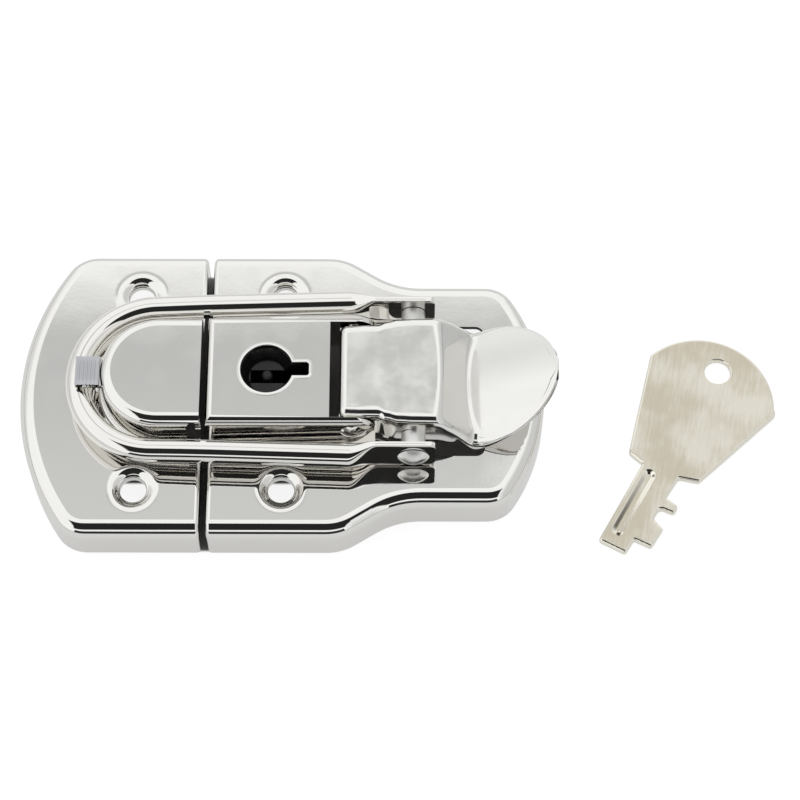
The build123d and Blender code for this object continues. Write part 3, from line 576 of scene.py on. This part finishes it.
def key_material():
    """Nickel plate on a stamped blank: brushed and patchy, brighter and smoother on the tumbled edges."""
    material, make = new_material("brushed_nickel")
    source = make("ShaderNodeTexCoord")
    place = source.outputs["Object"]
    turned = make("ShaderNodeMapping", Vector=place, Rotation=(0.0, 0.0, BRUSH_TURN))
    brush = make("ShaderNodeMapping", Vector=turned.outputs[0], Scale=BRUSH_SCALE)
    streaks = noise(make, brush.outputs[0], scale=1.0, detail=3.0)
    patches = maths(make, "MULTIPLY", noise(make, place, PATCH_SCALE, detail=3.0), PATCH_SHARE)
    tone = maths(make, "MULTIPLY_ADD", streaks, BRUSH_SHARE, patches)
    patchy = mixed_colour(make, smooth_step(make, tone, *PATCH_RANGE), NICKEL, NICKEL_PATCH)
    facing = make("ShaderNodeSeparateXYZ", Vector=source.outputs["Normal"])
    flat = smooth_step(make, facing.outputs["Z"], *FLAT_FACING)
    clean = mixed_colour(make, flat, NICKEL_EDGE, patchy)
    # Painted shade: one wall of the groove and a small pit are darkened in the colour
    colour = mixed_colour(make, key_painted_shade(make, place), clean, NICKEL_PAINTED_SHADE)
    rough = smooth_step(make, facing.outputs["Z"], *FLAT_FACING, *EDGE_TO_FLAT_ROUGHNESS)
    bump = make("ShaderNodeBump", Strength=0.25, Distance=0.0001, Height=streaks)
    surface(make, colour, metallic=1.0, roughness=rough, bump=bump)
    return material


def new_object(name, data):
    """An object in the scene."""
    made = bpy.data.objects.new(name, data)
    bpy.context.scene.collection.objects.link(made)
    return made


def mesh_piece(name, points, faces, material, body):
    """A smooth-shaded mesh from points in millimetres, riding on a body and finished with the given
    material.
    """
    mesh = bpy.data.meshes.new(name)
    mesh.from_pydata([tuple(c * MM for c in point) for point in points], [], faces)
    mesh.polygons.foreach_set("use_smooth", [True] * len(mesh.polygons))
    mesh.materials.append(material)
    mesh.update()
    piece = new_object(name, mesh)
    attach(piece, body)
    return piece


def evenly(start, end, steps):
    """Values from start to end, both included, in equal steps."""
    return [start + (end - start) * step / steps for step in range(steps + 1)]


def part_way(start, end, share):
    """The value a share of the way from start to end."""
    return start + (end - start) * share


def eased(value, low, high):
    """0 below low, 1 above high, smooth between."""
    share = min(max((value - low) / (high - low), 0.0), 1.0)
    return share * share * (3.0 - 2.0 * share)


def arc(u, v, radius, start, end, steps):
    """Points along an arc, each with the way to it from the centre."""
    points = []
    for angle in evenly(start, end, steps):
        c = math.cos(angle)
        s = math.sin(angle)
        points.append((u + radius * c, v + radius * s, c, s))
    return points


def tube_faces(rings, across, closed):
    """Quads between neighbouring rings of equal length, and an end face on each open end."""
    faces = []
    for ring in range(rings if closed else rings - 1):
        here = ring * across
        there = (ring + 1) % rings * across
        for step in range(across):
            following = (step + 1) % across
            faces.append((here + step, here + following, there + following, there + step))
    if not closed:
        faces.append(tuple(range(across - 1, -1, -1)))
        faces.append(tuple((rings - 1) * across + step for step in range(across)))
    return faces


def grid_faces(rows, across, closed=False):
    """Quads between neighbouring open rows of equal length; closed joins the last row to the first."""
    faces = []
    for row in range(rows if closed else rows - 1):
        here = row * across
        there = (row + 1) % rows * across
        for step in range(across - 1):
            faces.append((here + step, there + step, there + step + 1, here + step + 1))
    return faces


def bail_section(x, y, lateral, z, half_across, half_up, square):
    """One section of the bail, round where square is 0 and nearly rectangular where it is 1."""
    power = 1.0 - PRESS_SQUARENESS * square
    points = []
    for turn in evenly(0.0, math.tau, ROD_SIDES)[:-1]:
        c = math.cos(turn)
        s = math.sin(turn)
        out = half_across * math.copysign(abs(c) ** power, c)
        rise = half_up * math.copysign(abs(s) ** power, s)
        points.append((x + lateral[0] * out, y + lateral[1] * out, z + rise))
    return points


def bail_half():
    """Sections of the bail's far half, from the loop's tip to the end of the ear."""
    rings = []
    for turn in evenly(0.0, QUARTER - ARM_SPREAD, LOOP_STEPS):
        lateral = (-math.cos(turn), math.sin(turn))
        x = LOOP_CENTRE + LOOP_RADIUS * lateral[0]
        y = LOOP_RADIUS * lateral[1]
        z = part_way(LOOP_HEIGHT, ARM_HEIGHT, eased(x, *ARM_RISE_X))
        rings.append(bail_section(x, y, lateral, z, ROD_RADIUS, ROD_RADIUS, 0.0))
    arm_x = LOOP_CENTRE - LOOP_RADIUS * math.sin(ARM_SPREAD)
    arm_y = LOOP_RADIUS * math.cos(ARM_SPREAD)
    inner_y = arm_y + (PRESS_START - arm_x) * math.tan(ARM_SPREAD) - ROD_RADIUS
    corner_x = EAR_END - EAR_CORNER
    places = evenly(arm_x, PRESS_START, ARM_STEPS)[1:]
    places += evenly(PRESS_START, PRESS_END, PRESS_STEPS)[1:]
    places += evenly(PRESS_END, corner_x, EAR_STEPS)[1:]
    corner_turns = evenly(0.0, QUARTER, EAR_CORNER_STEPS)[1:]
    places += [corner_x + EAR_CORNER * math.sin(turn) for turn in corner_turns]
    for x in places:
        pressed = eased(x, PRESS_START, PRESS_END)
        half_across = part_way(ROD_RADIUS, EAR_HALF_THICKNESS, pressed)
        half_up = part_way(ROD_RADIUS, (EAR_TOP - EAR_BOTTOM) / 2, pressed)
        z = part_way(ARM_HEIGHT, (EAR_TOP + EAR_BOTTOM) / 2, pressed)
        z -= (ARM_HEIGHT - LOOP_HEIGHT) * (1.0 - eased(x, *ARM_RISE_X))
        if x > corner_x:
            half_up -= EAR_CORNER - math.sqrt(max(EAR_CORNER**2 - (x - corner_x) ** 2, 0.0))
        if x < PRESS_START:
            y = arm_y + (x - arm_x) * math.tan(ARM_SPREAD)
        else:
            y = part_way(inner_y, EAR_INNER, pressed) + half_across
        lateral = (-math.sin(ARM_SPREAD) * (1.0 - pressed), math.cos(ARM_SPREAD * (1.0 - pressed)))
        rings.append(bail_section(x, y, lateral, z, half_across, half_up, pressed))
    return rings


def bail_rod(material):
    """The whole bail: the far half and its mirror image on the near side."""
    half = bail_half()
    near = [[(x, -y, z) for x, y, z in ring] for ring in half[:0:-1]]
    rings = near + half
    points = [point for ring in rings for point in ring]
    return mesh_piece("bail_rod", points, tube_faces(len(rings), ROD_SIDES, False), material, "bail")


def fuller_edge(distance, z, wall, old, new):
    """Moves a point of an edge's rounding from the old radius to the new, about the same wall and top."""
    sine = (distance - (wall - old)) / old
    cosine = (z - (BOX_TOP - old)) / old
    off_arc = abs(math.hypot(sine, cosine) - 1.0)
    if off_arc >= ARC_TOLERANCE or min(sine, cosine) <= -ARC_TOLERANCE / 2:
        return distance, z
    return wall - new + new * sine, BOX_TOP - new + new * cosine


def keeper_shape(x, y, z):
    """The keeper's dome with the fuller edge of the real one."""
    off_x = min(x - DOME_CENTRE_X, 0.0)
    distance = math.hypot(off_x, y)
    moved, z = fuller_edge(distance, z, DOME_HALF_WIDTH, DOME_EDGE, DOME_FULL_EDGE)
    share = moved / distance if distance > 0.0 else 1.0
    return (x + off_x * (share - 1.0), y * share, z)


def box_shape(x, y, z):
    """The lock box with the fuller edge of the real one; the ears' inner faces stay where they are."""
    moved, z = fuller_edge(abs(y), z, BOX_HALF_WIDTH, BOX_EDGE, BOX_FULL_EDGE)
    if x > BOX_EARS_X and abs(y) >= BOX_EAR_FACE:
        moved = max(moved, BOX_EAR_FACE)
    return (x, math.copysign(moved, y), z)


def on_cone(face):
    """Whether a face of the plates is part of a countersink's cone."""
    lowest = min(z for _, _, z in face)
    highest = max(z for _, _, z in face)
    if lowest > PLATE_TOP - LEVEL_TOLERANCE or highest > PLATE_TOP + LEVEL_TOLERANCE:
        return False
    if lowest < PLATE_TOP - CONE_DEPTH - 2 * CONE_MARGIN:
        return False
    screw_x = min(SCREW_X, key=lambda place: abs(place - face[0][0]))
    distances = [math.hypot(x - screw_x, abs(y) - SCREW_Y) for x, y, _ in face]
    return min(distances) > HOLE_RADIUS - CONE_MARGIN and max(distances) < CONE_RADIUS + CONE_MARGIN


def reshaped(name, node, shape, material):
    """A plate in place of its CAD node: the same mesh without the cones, its points moved by shape."""
    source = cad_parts[node].data
    places = [shape(*(c / MM for c in point.co)) for point in source.vertices]
    kept = [face for face in source.polygons if not on_cone([places[index] for index in face.vertices])]
    used = sorted({index for face in kept for index in face.vertices})
    fresh = {index: order for order, index in enumerate(used)}
    points = [places[index] for index in used]
    faces = [tuple(fresh[index] for index in face.vertices) for face in kept]
    normals = [tuple(source.corner_normals[loop].vector) for face in kept for loop in face.loop_indices]
    piece = mesh_piece(name, points, faces, material, "latch_base")
    piece.data.normals_split_custom_set(normals)
    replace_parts(piece, node)


def screw_dimple(name, x, y, material):
    """A pressed dimple round a screw hole, level with the plate outside and steepest at the hole."""
    section = []
    for radius in evenly(DIMPLE_RADIUS, DIMPLE_THROAT, DIMPLE_STEPS):
        share = (DIMPLE_RADIUS - radius) / (DIMPLE_RADIUS - DIMPLE_THROAT)
        section.append((radius, DIMPLE_TOP - DIMPLE_DEPTH * share**DIMPLE_POWER))
    throat = DIMPLE_TOP - DIMPLE_DEPTH
    wall = PLATE_TOP - CONE_DEPTH
    for turn in evenly(0.0, QUARTER, THROAT_STEPS)[1:]:
        radius = part_way(HOLE_RADIUS, DIMPLE_THROAT, 1.0 - math.sin(turn))
        section.append((radius, part_way(wall, throat, math.cos(turn))))
    points = []
    for turn in evenly(0.0, math.tau, DIMPLE_SIDES)[:-1]:
        c = math.cos(turn)
        s = math.sin(turn)
        points += [(x + radius * c, y + radius * s, z) for radius, z in section]
    # Each quad starts at its second corner, which sets the diagonal that it is split along
    faces = [face[1:] + face[:1] for face in grid_faces(DIMPLE_SIDES, len(section), closed=True)]
    return mesh_piece(name, points, faces, material, "latch_base")


def hook_ridges(material):
    """The drawn ridges on the hook's top, which fade out at its tip and at its root."""
    points = []
    rows = evenly(HOOK_TIP_X, HOOK_END_X, HOOK_ROWS)
    shares = evenly(-1.0, 1.0, HOOK_COLUMNS)
    for x in rows:
        fade = eased(x, HOOK_TIP_X, HOOK_TIP_X + HOOK_TIP_FADE)
        fade *= 1.0 - eased(x, HOOK_END_X - HOOK_END_FADE, HOOK_END_X)
        ridge = 0.5 + 0.5 * math.cos(math.tau * (x - HOOK_TIP_X) / HOOK_PITCH)
        lift = HOOK_SKIN + fade * (HOOK_STEP + HOOK_RIDGE * ridge)
        for share in shares:
            crown = 1.0 - share**HOOK_CROWN_POWER
            points.append((x, HOOK_HALF_WIDTH * share, HOOK_TOP + lift * crown))
    return mesh_piece("hook_ridges", points, grid_faces(len(rows), len(shares)), material, "latch_base")


def soft_lower(a, b, width):
    """The lower of two heights, with a rounded change between them."""
    share = max(width - abs(a - b), 0.0) / width
    return min(a, b) - share * share * width / 4


def lever_height(x, y):
    """Height of the lever's skin: the slightly hollow top, the ramp to the fold and the tab's rise."""
    nose = NOSE_DROP * (1.0 - eased(x, *NOSE_DROP_X))
    hollow = math.exp(-((x - HOLLOW_X) ** 2) / HOLLOW_SPREAD[0] - y * y / HOLLOW_SPREAD[1])
    wave = math.sin(WAVE_RATES[0] * x + WAVE_RATES[1] * y)
    top = LEVER_TOP - nose - HOLLOW_DEPTH * hollow + WAVE_HEIGHT * wave
    across = (y / RAMP_HALF_WIDTH) ** 2
    ramp = LEVER_TOP - (x - RIDGE_X + RIDGE_BOW * across) * (RAMP_SLOPE - RAMP_SLOPE_BOW * across)
    tab = FOLD_Z + (x - FOLD_X) * TAB_RISE - y * y / (2 * TAB_CROWN)
    return -soft_lower(-soft_lower(top, ramp, RIDGE_SOFT), -tab, FOLD_SOFT)


def lever_half_width(x):
    """Half of the lever's width at x, a smooth line through the measured places and the tab's ellipse."""
    if x >= TAB_CENTRE_X:
        share = min((x - TAB_CENTRE_X) / (TAB_TIP_X - TAB_CENTRE_X), 1.0)
        return TAB_HALF_WIDTH * math.sqrt(1.0 - share * share)
    for (x0, y0), (x1, y1) in zip(LEVER_SIDES, LEVER_SIDES[1:]):
        if x <= x1:
            return part_way(y0, y1, eased(x, x0, x1))
    return TAB_HALF_WIDTH


def lever_section(x, sink):
    """The skin's section at x, from the near flange's edge over the top to the far flange's edge."""
    half = lever_half_width(x)
    near_fold = math.exp(-(((x - ROLL_FOLD_X) / ROLL_FOLD_SPREAD) ** 2))
    roll = ROLL + ROLL_AT_FOLD * near_fold - ROLL_LOSS * eased(x, *ROLL_LOSS_X)
    roll = min(roll, ROLL_SHARE * half)
    shoulder = lever_height(x, half - roll) - sink
    wall_top = shoulder - roll
    bottom = FLANGE_BOTTOM
    corner_x = FLANGE_END - FLANGE_CORNER
    if x > corner_x:
        past = min(x - corner_x, FLANGE_CORNER)
        bottom += FLANGE_CORNER - math.sqrt(FLANGE_CORNER**2 - past**2)
    bottom = min(bottom, wall_top - FLANGE_LEAST)
    bottom = part_way(bottom, wall_top - FLANGE_LEAST, eased(x, FLANGE_END - FLANGE_BLEND, FLANGE_END))
    side = [(half, z) for z in evenly(bottom, wall_top, FLANGE_STEPS)[:-1]]
    side += [(y, z) for y, z, _, _ in arc(half - roll, wall_top, roll, 0.0, QUARTER, ROLL_STEPS)]
    near = [(x, -y, z) for y, z in side]
    across = evenly(roll - half, half - roll, TOP_STEPS)[1:-1]
    top = [(x, y, lever_height(x, y) - sink) for y in across]
    far = [(x, y, z) for y, z in reversed(side)]
    return near + top + far


def lever_piece(material):
    """The lever's skin, thickened inwards to the sheet, from the nose to the tip of the tab."""
    sections = []
    for turn in evenly(0.0, QUARTER, NOSE_STEPS):
        x = NOSE_X + NOSE_RADIUS * (1.0 - math.cos(turn))
        sections.append(lever_section(x, NOSE_RADIUS * (1.0 - math.sin(turn))))
    for x in evenly(NOSE_X + NOSE_RADIUS, TAB_CENTRE_X, LEVER_STEPS)[1:]:
        sections.append(lever_section(x, 0.0))
    for turn in evenly(0.0, TAB_LAST_TURN, TAB_STEPS)[1:]:
        sections.append(lever_section(part_way(TAB_CENTRE_X, TAB_TIP_X, math.sin(turn)), 0.0))
    points = [point for section in sections for point in section]
    faces = grid_faces(len(sections), len(sections[0]))
    piece = mesh_piece("lever_skin", points, faces, material, "lever")
    thicken = piece.modifiers.new("sheet", "SOLIDIFY")
    thicken.thickness = LEVER_SHEET * MM
    thicken.offset = -1.0
    thicken.use_even_offset = False
    thinner_tip = piece.vertex_groups.new(name="sheet")
    for index, (x, _, _) in enumerate(points):
        thinner_tip.add([index], min(1.0, TAB_THINNING * lever_half_width(x)), "REPLACE")
    thicken.vertex_group = "sheet"
    return piece


def lever_tongue(material):
    """The wall at the nose: a lip across, a hanging tongue and the slot that takes the bolt."""
    columns = (
        -NOSE_LIP_HALF_WIDTH,
        -TONGUE_HALF_WIDTH,
        *BOLT_SLOT_Y,
        TONGUE_HALF_WIDTH,
        NOSE_LIP_HALF_WIDTH,
    )
    levels = (TONGUE_BOTTOM, *BOLT_SLOT_Z, NOSE_LIP, LEVER_TOP - NOSE_RADIUS)
    rows = len(levels)
    front = [(NOSE_X, y, z) for y in columns for z in levels]
    rear = [(NOSE_X + LEVER_SHEET, y, z) for y in columns for z in levels]
    cells = []
    for column in range(len(columns) - 1):
        for level in range(rows - 1):
            beside_tongue = column in (0, 4) and level < 3
            in_slot = (column, level) == (2, 1)
            if not beside_tongue and not in_slot:
                cells.append((column, level))
    faces = []
    back = len(front)
    for column, level in cells:
        a = column * rows + level
        b = a + rows
        faces.append((a, a + 1, b + 1, b))
        faces.append((back + a, back + b, back + b + 1, back + a + 1))
        if (column - 1, level) not in cells:
            faces.append((a, back + a, back + a + 1, a + 1))
        if (column + 1, level) not in cells:
            faces.append((b, b + 1, back + b + 1, back + b))
        if (column, level - 1) not in cells:
            faces.append((a, b, back + b, back + a))
        if (column, level + 1) not in cells:
            faces.append((a + 1, back + a + 1, back + b + 1, b + 1))
    piece = mesh_piece("lever_tongue", front + rear, faces, material, "lever")
    piece.data.polygons.foreach_set("use_smooth", [False] * len(piece.data.polygons))
    edges = piece.modifiers.new("edges", "BEVEL")
    edges.width = TONGUE_EDGE * MM
    edges.segments = 2


def rounded_outline(corners, inset):
    """A closed outline round corners of (u, v, radius), moved inwards; each point has its outward way."""
    points = []
    for index, (u, v, radius) in enumerate(corners):
        before = corners[index - 1]
        after = corners[(index + 1) % len(corners)]
        ways = []
        for start, end in ((before, (u, v)), ((u, v), after)):
            length = math.hypot(end[0] - start[0], end[1] - start[1])
            ways.append(((end[0] - start[0]) / length, (end[1] - start[1]) / length))
        (au, av), (bu, bv) = ways
        turn = math.atan2(au * bv - av * bu, au * bu + av * bv)
        scale = math.hypot(av + bv, au + bu)
        out_u = (av + bv) / scale
        out_v = -(au + bu) / scale
        reach = inset / math.cos(turn / 2)
        if radius == 0.0:
            points.append((u - out_u * reach, v - out_v * reach, out_u, out_v))
            continue
        side = 1.0 if turn > 0 else -1.0
        bend = side * max(radius - side * inset, 0.0)
        reach += bend / math.cos(turn / 2)
        centre = (u - out_u * reach, v - out_v * reach)
        middle = math.atan2(out_v, out_u)
        points += arc(*centre, bend, middle - turn / 2, middle + turn / 2, KEY_CORNER_STEPS)
    return points


def key_corners():
    """Corners of the key blank, anticlockwise: blade tip, bit, bow and back."""
    start, end = (math.atan2(v - KEY_BOW_V, u - KEY_BOW_U) for u, v, _ in (KEY_BOW_RIGHT, KEY_BOW_LEFT))
    bow = arc(KEY_BOW_U, KEY_BOW_V, KEY_BOW_RADIUS, start, end, KEY_BOW_STEPS)[1:-1]
    bow_corners = [(u, v, 0.0) for u, v, _, _ in bow]
    return [*KEY_LOWER, KEY_BOW_RIGHT, *bow_corners, KEY_BOW_LEFT, *KEY_UPPER]


def groove_outline(inset):
    """Points round the key's groove, a slot with round ends, each with its outward way."""
    (u0, v0), (u1, v1) = GROOVE_ENDS
    lean = math.atan2(v1 - v0, u1 - u0)
    radius = GROOVE_HALF_WIDTH - inset
    far_end = arc(u1, v1, radius, lean - QUARTER, lean + QUARTER, GROOVE_END_STEPS)
    near_end = arc(u0, v0, radius, lean + QUARTER, lean + 3 * QUARTER, GROOVE_END_STEPS)
    return far_end + near_end


def facing_in(loop):
    """A loop's points with their ways turned round."""
    return [(u, v, -c, -s) for u, v, c, s in loop]


def inside(place, rim):
    """Whether a place lies inside a closed rim."""
    within = False
    for (x0, y0), (x1, y1) in zip(rim, rim[1:] + rim[:1]):
        if (y0 > place[1]) != (y1 > place[1]) and place[0] < x0 + (x1 - x0) * (place[1] - y0) / (y1 - y0):
            within = not within
    return within


def key_blank(material):
    """The key: a stamped blank with tumbled edges, a ring hole and a pressed groove along its blade."""
    lean_c = math.cos(KEY_LEAN)
    lean_s = math.sin(KEY_LEAN)
    points = []
    normals = []
    faces = []

    def add_loop(loop, z, tilt):
        """Adds the points of a loop at a height, their normals tilted up from its ways."""
        first = len(points)
        for u, v, out_u, out_v in loop:
            x = KEY_ORIGIN[0] + u * lean_c - v * lean_s
            y = KEY_ORIGIN[1] + u * lean_s + v * lean_c
            out_x = out_u * lean_c - out_v * lean_s
            out_y = out_u * lean_s + out_v * lean_c
            points.append((x, y, z))
            normals.append((out_x * math.cos(tilt), out_y * math.cos(tilt), math.sin(tilt)))
        return range(first, len(points))

    def bridge(loops, turned):
        """Quads from each loop to the next."""
        for lower, upper in zip(loops, loops[1:]):
            for step, here in enumerate(lower):
                following = (step + 1) % len(lower)
                face = (here, lower[following], upper[following], upper[step])
                faces.append(face[::-1] if turned else face)

    def fill(border, holes, turned):
        """Triangles between a border and the holes in it."""
        owners = [index for loop in (border, *holes) for index in loop]
        edges = []
        for loop in (border, *holes):
            start = len(edges)
            edges += [(start + step, start + (step + 1) % len(loop)) for step in range(len(loop))]
        rims = [[points[index][:2] for index in hole] for hole in holes]
        places = [Vector(points[index][:2]) for index in owners]
        corners, _, triangles, origins, _, _ = delaunay_2d_cdt(places, edges, [], 1, SAME_PLACE)
        for triangle in triangles:
            middle = [sum(corners[corner][axis] for corner in triangle) / 3 for axis in range(2)]
            if not any(inside(middle, rim) for rim in rims):
                face = tuple(owners[origins[corner][0]] for corner in triangle)
                faces.append(face[::-1] if turned else face)

    edge = []
    for turn in evenly(-QUARTER, 0.0, KEY_LOWER_STEPS):
        inset = KEY_LOWER_EDGE * (1.0 - math.cos(turn))
        edge.append((inset, KEY_BOTTOM + KEY_LOWER_EDGE * (1.0 + math.sin(turn)), turn))
    for turn in evenly(0.0, QUARTER, KEY_UPPER_STEPS):
        inset = KEY_UPPER_EDGE * (1.0 - math.cos(turn))
        edge.append((inset, KEY_TOP - KEY_UPPER_EDGE * (1.0 - math.sin(turn)), turn))
    corners = key_corners()
    outer = [add_loop(rounded_outline(corners, inset), z, turn) for inset, z, turn in edge]
    bridge(outer, False)
    ring = []
    for inset, z, turn in edge:
        radius = KEY_RING_RADIUS + KEY_RING_EDGE * inset
        circle = arc(*KEY_RING, radius, 0.0, math.tau, KEY_RING_STEPS)[:-1]
        ring.append(add_loop(facing_in(circle), z, turn))
    bridge(ring, True)
    groove = []
    for share in evenly(0.0, 1.0, GROOVE_WALL_STEPS):
        z = KEY_TOP - GROOVE_DEPTH * eased(share, 0.0, 1.0)
        slope = math.atan(6.0 * share * (1.0 - share) * GROOVE_DEPTH / GROOVE_WALL)
        groove.append(add_loop(facing_in(groove_outline(GROOVE_WALL * share)), z, QUARTER - slope))
    bridge(groove, False)
    faces.append(tuple(groove[-1]))
    fill(outer[-1], [ring[-1], groove[0]], False)
    fill(outer[0], [ring[0]], True)
    piece = mesh_piece("key_blank", points, faces, material, "key")
    piece.data.normals_split_custom_set_from_vertices(normals)
    return piece


def keyhole_outline(grow):
    """Points of the keyhole's outline, grown by a distance."""
    radius = KEYHOLE_RADIUS + grow
    half_slot = SLOT_HALF_WIDTH + grow
    corner = SLOT_CORNER + grow
    corner_x = SLOT_END + grow - corner
    start = math.asin(half_slot / radius)
    outline = arc(0.0, 0.0, radius, start, math.tau - start, KEYHOLE_STEPS)
    outline += arc(corner_x, corner - half_slot, corner, -QUARTER, 0.0, SLOT_CORNER_STEPS)
    outline += arc(corner_x, half_slot - corner, corner, 0.0, QUARTER, SLOT_CORNER_STEPS)
    return [(x, y) for x, y, _, _ in outline]


def keyhole_lip(material):
    """The soft burr round the punched keyhole: it slopes gently into the hole."""
    loops = [keyhole_outline(grow) for grow, _ in BURR]
    points = []
    for places in zip(*loops):
        points += [(x, y, BOX_TOP + lift) for (x, y), (_, lift) in zip(places, BURR)]
    faces = tube_faces(len(loops[0]), len(BURR), True)
    return mesh_piece("keyhole_lip", points, faces, material, "latch_base")


def add_floor():
    """The table top, just under the object's feet."""
    half = FLOOR_SIZE / 2
    corners = [(-half, -half, 0), (half, -half, 0), (half, half, 0), (-half, half, 0)]
    mesh = bpy.data.meshes.new("table_top")
    mesh.from_pydata(corners, [], [(0, 1, 2, 3)])
    mesh.materials.append(floor_material())
    floor = new_object("table_top", mesh)
    floor.location.z = -FLOOR_DROP


def add_camera():
    """The camera, turned to the point that it aims at."""
    data = bpy.data.cameras.new("camera")
    data.lens = LENS
    data.sensor_width = SENSOR
    data.clip_start = CLIP_START
    camera = new_object("camera", data)
    level = math.cos(ELEVATION)
    back = Vector((math.sin(AZIMUTH) * level, -math.cos(AZIMUTH) * level, math.sin(ELEVATION)))
    camera.location = AIM + back * DISTANCE
    camera.rotation_mode = "QUATERNION"
    camera.rotation_quaternion = (-back).to_track_quat("-Z", "Y")
    bpy.context.scene.camera = camera


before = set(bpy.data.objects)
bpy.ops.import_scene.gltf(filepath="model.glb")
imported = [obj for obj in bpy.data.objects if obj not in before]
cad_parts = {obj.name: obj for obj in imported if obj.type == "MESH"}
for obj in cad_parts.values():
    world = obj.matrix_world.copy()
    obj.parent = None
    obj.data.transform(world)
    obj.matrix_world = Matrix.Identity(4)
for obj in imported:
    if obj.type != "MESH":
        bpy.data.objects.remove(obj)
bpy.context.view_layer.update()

chrome = chrome_material("bright_chrome", BRIGHT, roughness=0.03, swell=0.012, peel=0.0012)
lever_chrome = chrome_material(
    "lever_chrome", BRIGHT, roughness=0.08, swell=0.05, peel=0.0025, ramp_shade_tone=RAMP_SHADE_TONE
)
rod_chrome = chrome_material(
    "drawn_rod_chrome", (0.88, 0.87, 0.84, 1.0), roughness=0.03, swell=0.004, peel=0.0006
)
dull_chrome = chrome_material(
    "drawn_chrome", (0.50, 0.51, 0.53, 1.0), roughness=0.06, swell=0.02, peel=0.003
)
rivet_chrome = chrome_material(
    "rivet_chrome", (0.86, 0.86, 0.84, 1.0), roughness=0.24, swell=0.01, peel=0.001
)
black = plain_material("black_gloss", (0.008, 0.008, 0.008, 1.0), metallic=0.0, roughness=0.15)
zinc = plain_material("cast_zinc", (0.10, 0.10, 0.10, 1.0), metallic=0.6, roughness=0.5)
steel = plain_material("plain_steel", (0.55, 0.54, 0.52, 1.0), metallic=1.0, roughness=0.3)
dark_steel = plain_material("blackened_steel_and_painted_shade", (0.02, 0.02, 0.02, 1.0), metallic=0.4, roughness=0.35)

# Finishes of the CAD nodes that aren't chromed sheet
finishes = {
    "bail_pivot_near": rivet_chrome,
    "bail_pivot_far": rivet_chrome,
    "lock_rotor": black,
    "lock_top": zinc,
    "lock_body": zinc,
    "lock_cover": zinc,
    "lock_bolt": steel,
    "bolt_spring": steel,
    # The key post is near black as painted shade inside the keyhole
    "key_post": dark_steel,
    "ward_plate": dark_steel,
    **{f"cover_screw_{number}": steel for number in range(1, 5)},
}
for name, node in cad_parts.items():
    node.data.materials.clear()
    node.data.materials.append(finishes.get(name, chrome))

reshaped("keeper_pressing", "keeper_plate", keeper_shape, chrome)
reshaped("base_pressing", "base_plate", box_shape, chrome)
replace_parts(bail_rod(rod_chrome), "bail")
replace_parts(lever_piece(lever_chrome), "lever")
lever_tongue(lever_chrome)
keyhole_lip(chrome)
hook_ridges(dull_chrome)
screws = [(x, side * SCREW_Y) for x in SCREW_X for side in (-1.0, 1.0)]
for number, (x, y) in enumerate(screws, 1):
    screw_dimple(f"screw_dimple_{number}", x, y, chrome)
key_piece = key_blank(key_material())
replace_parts(key_piece, "key")

add_floor()
white_room()
add_camera()
bpy.context.scene.view_settings.view_transform = "Standard"
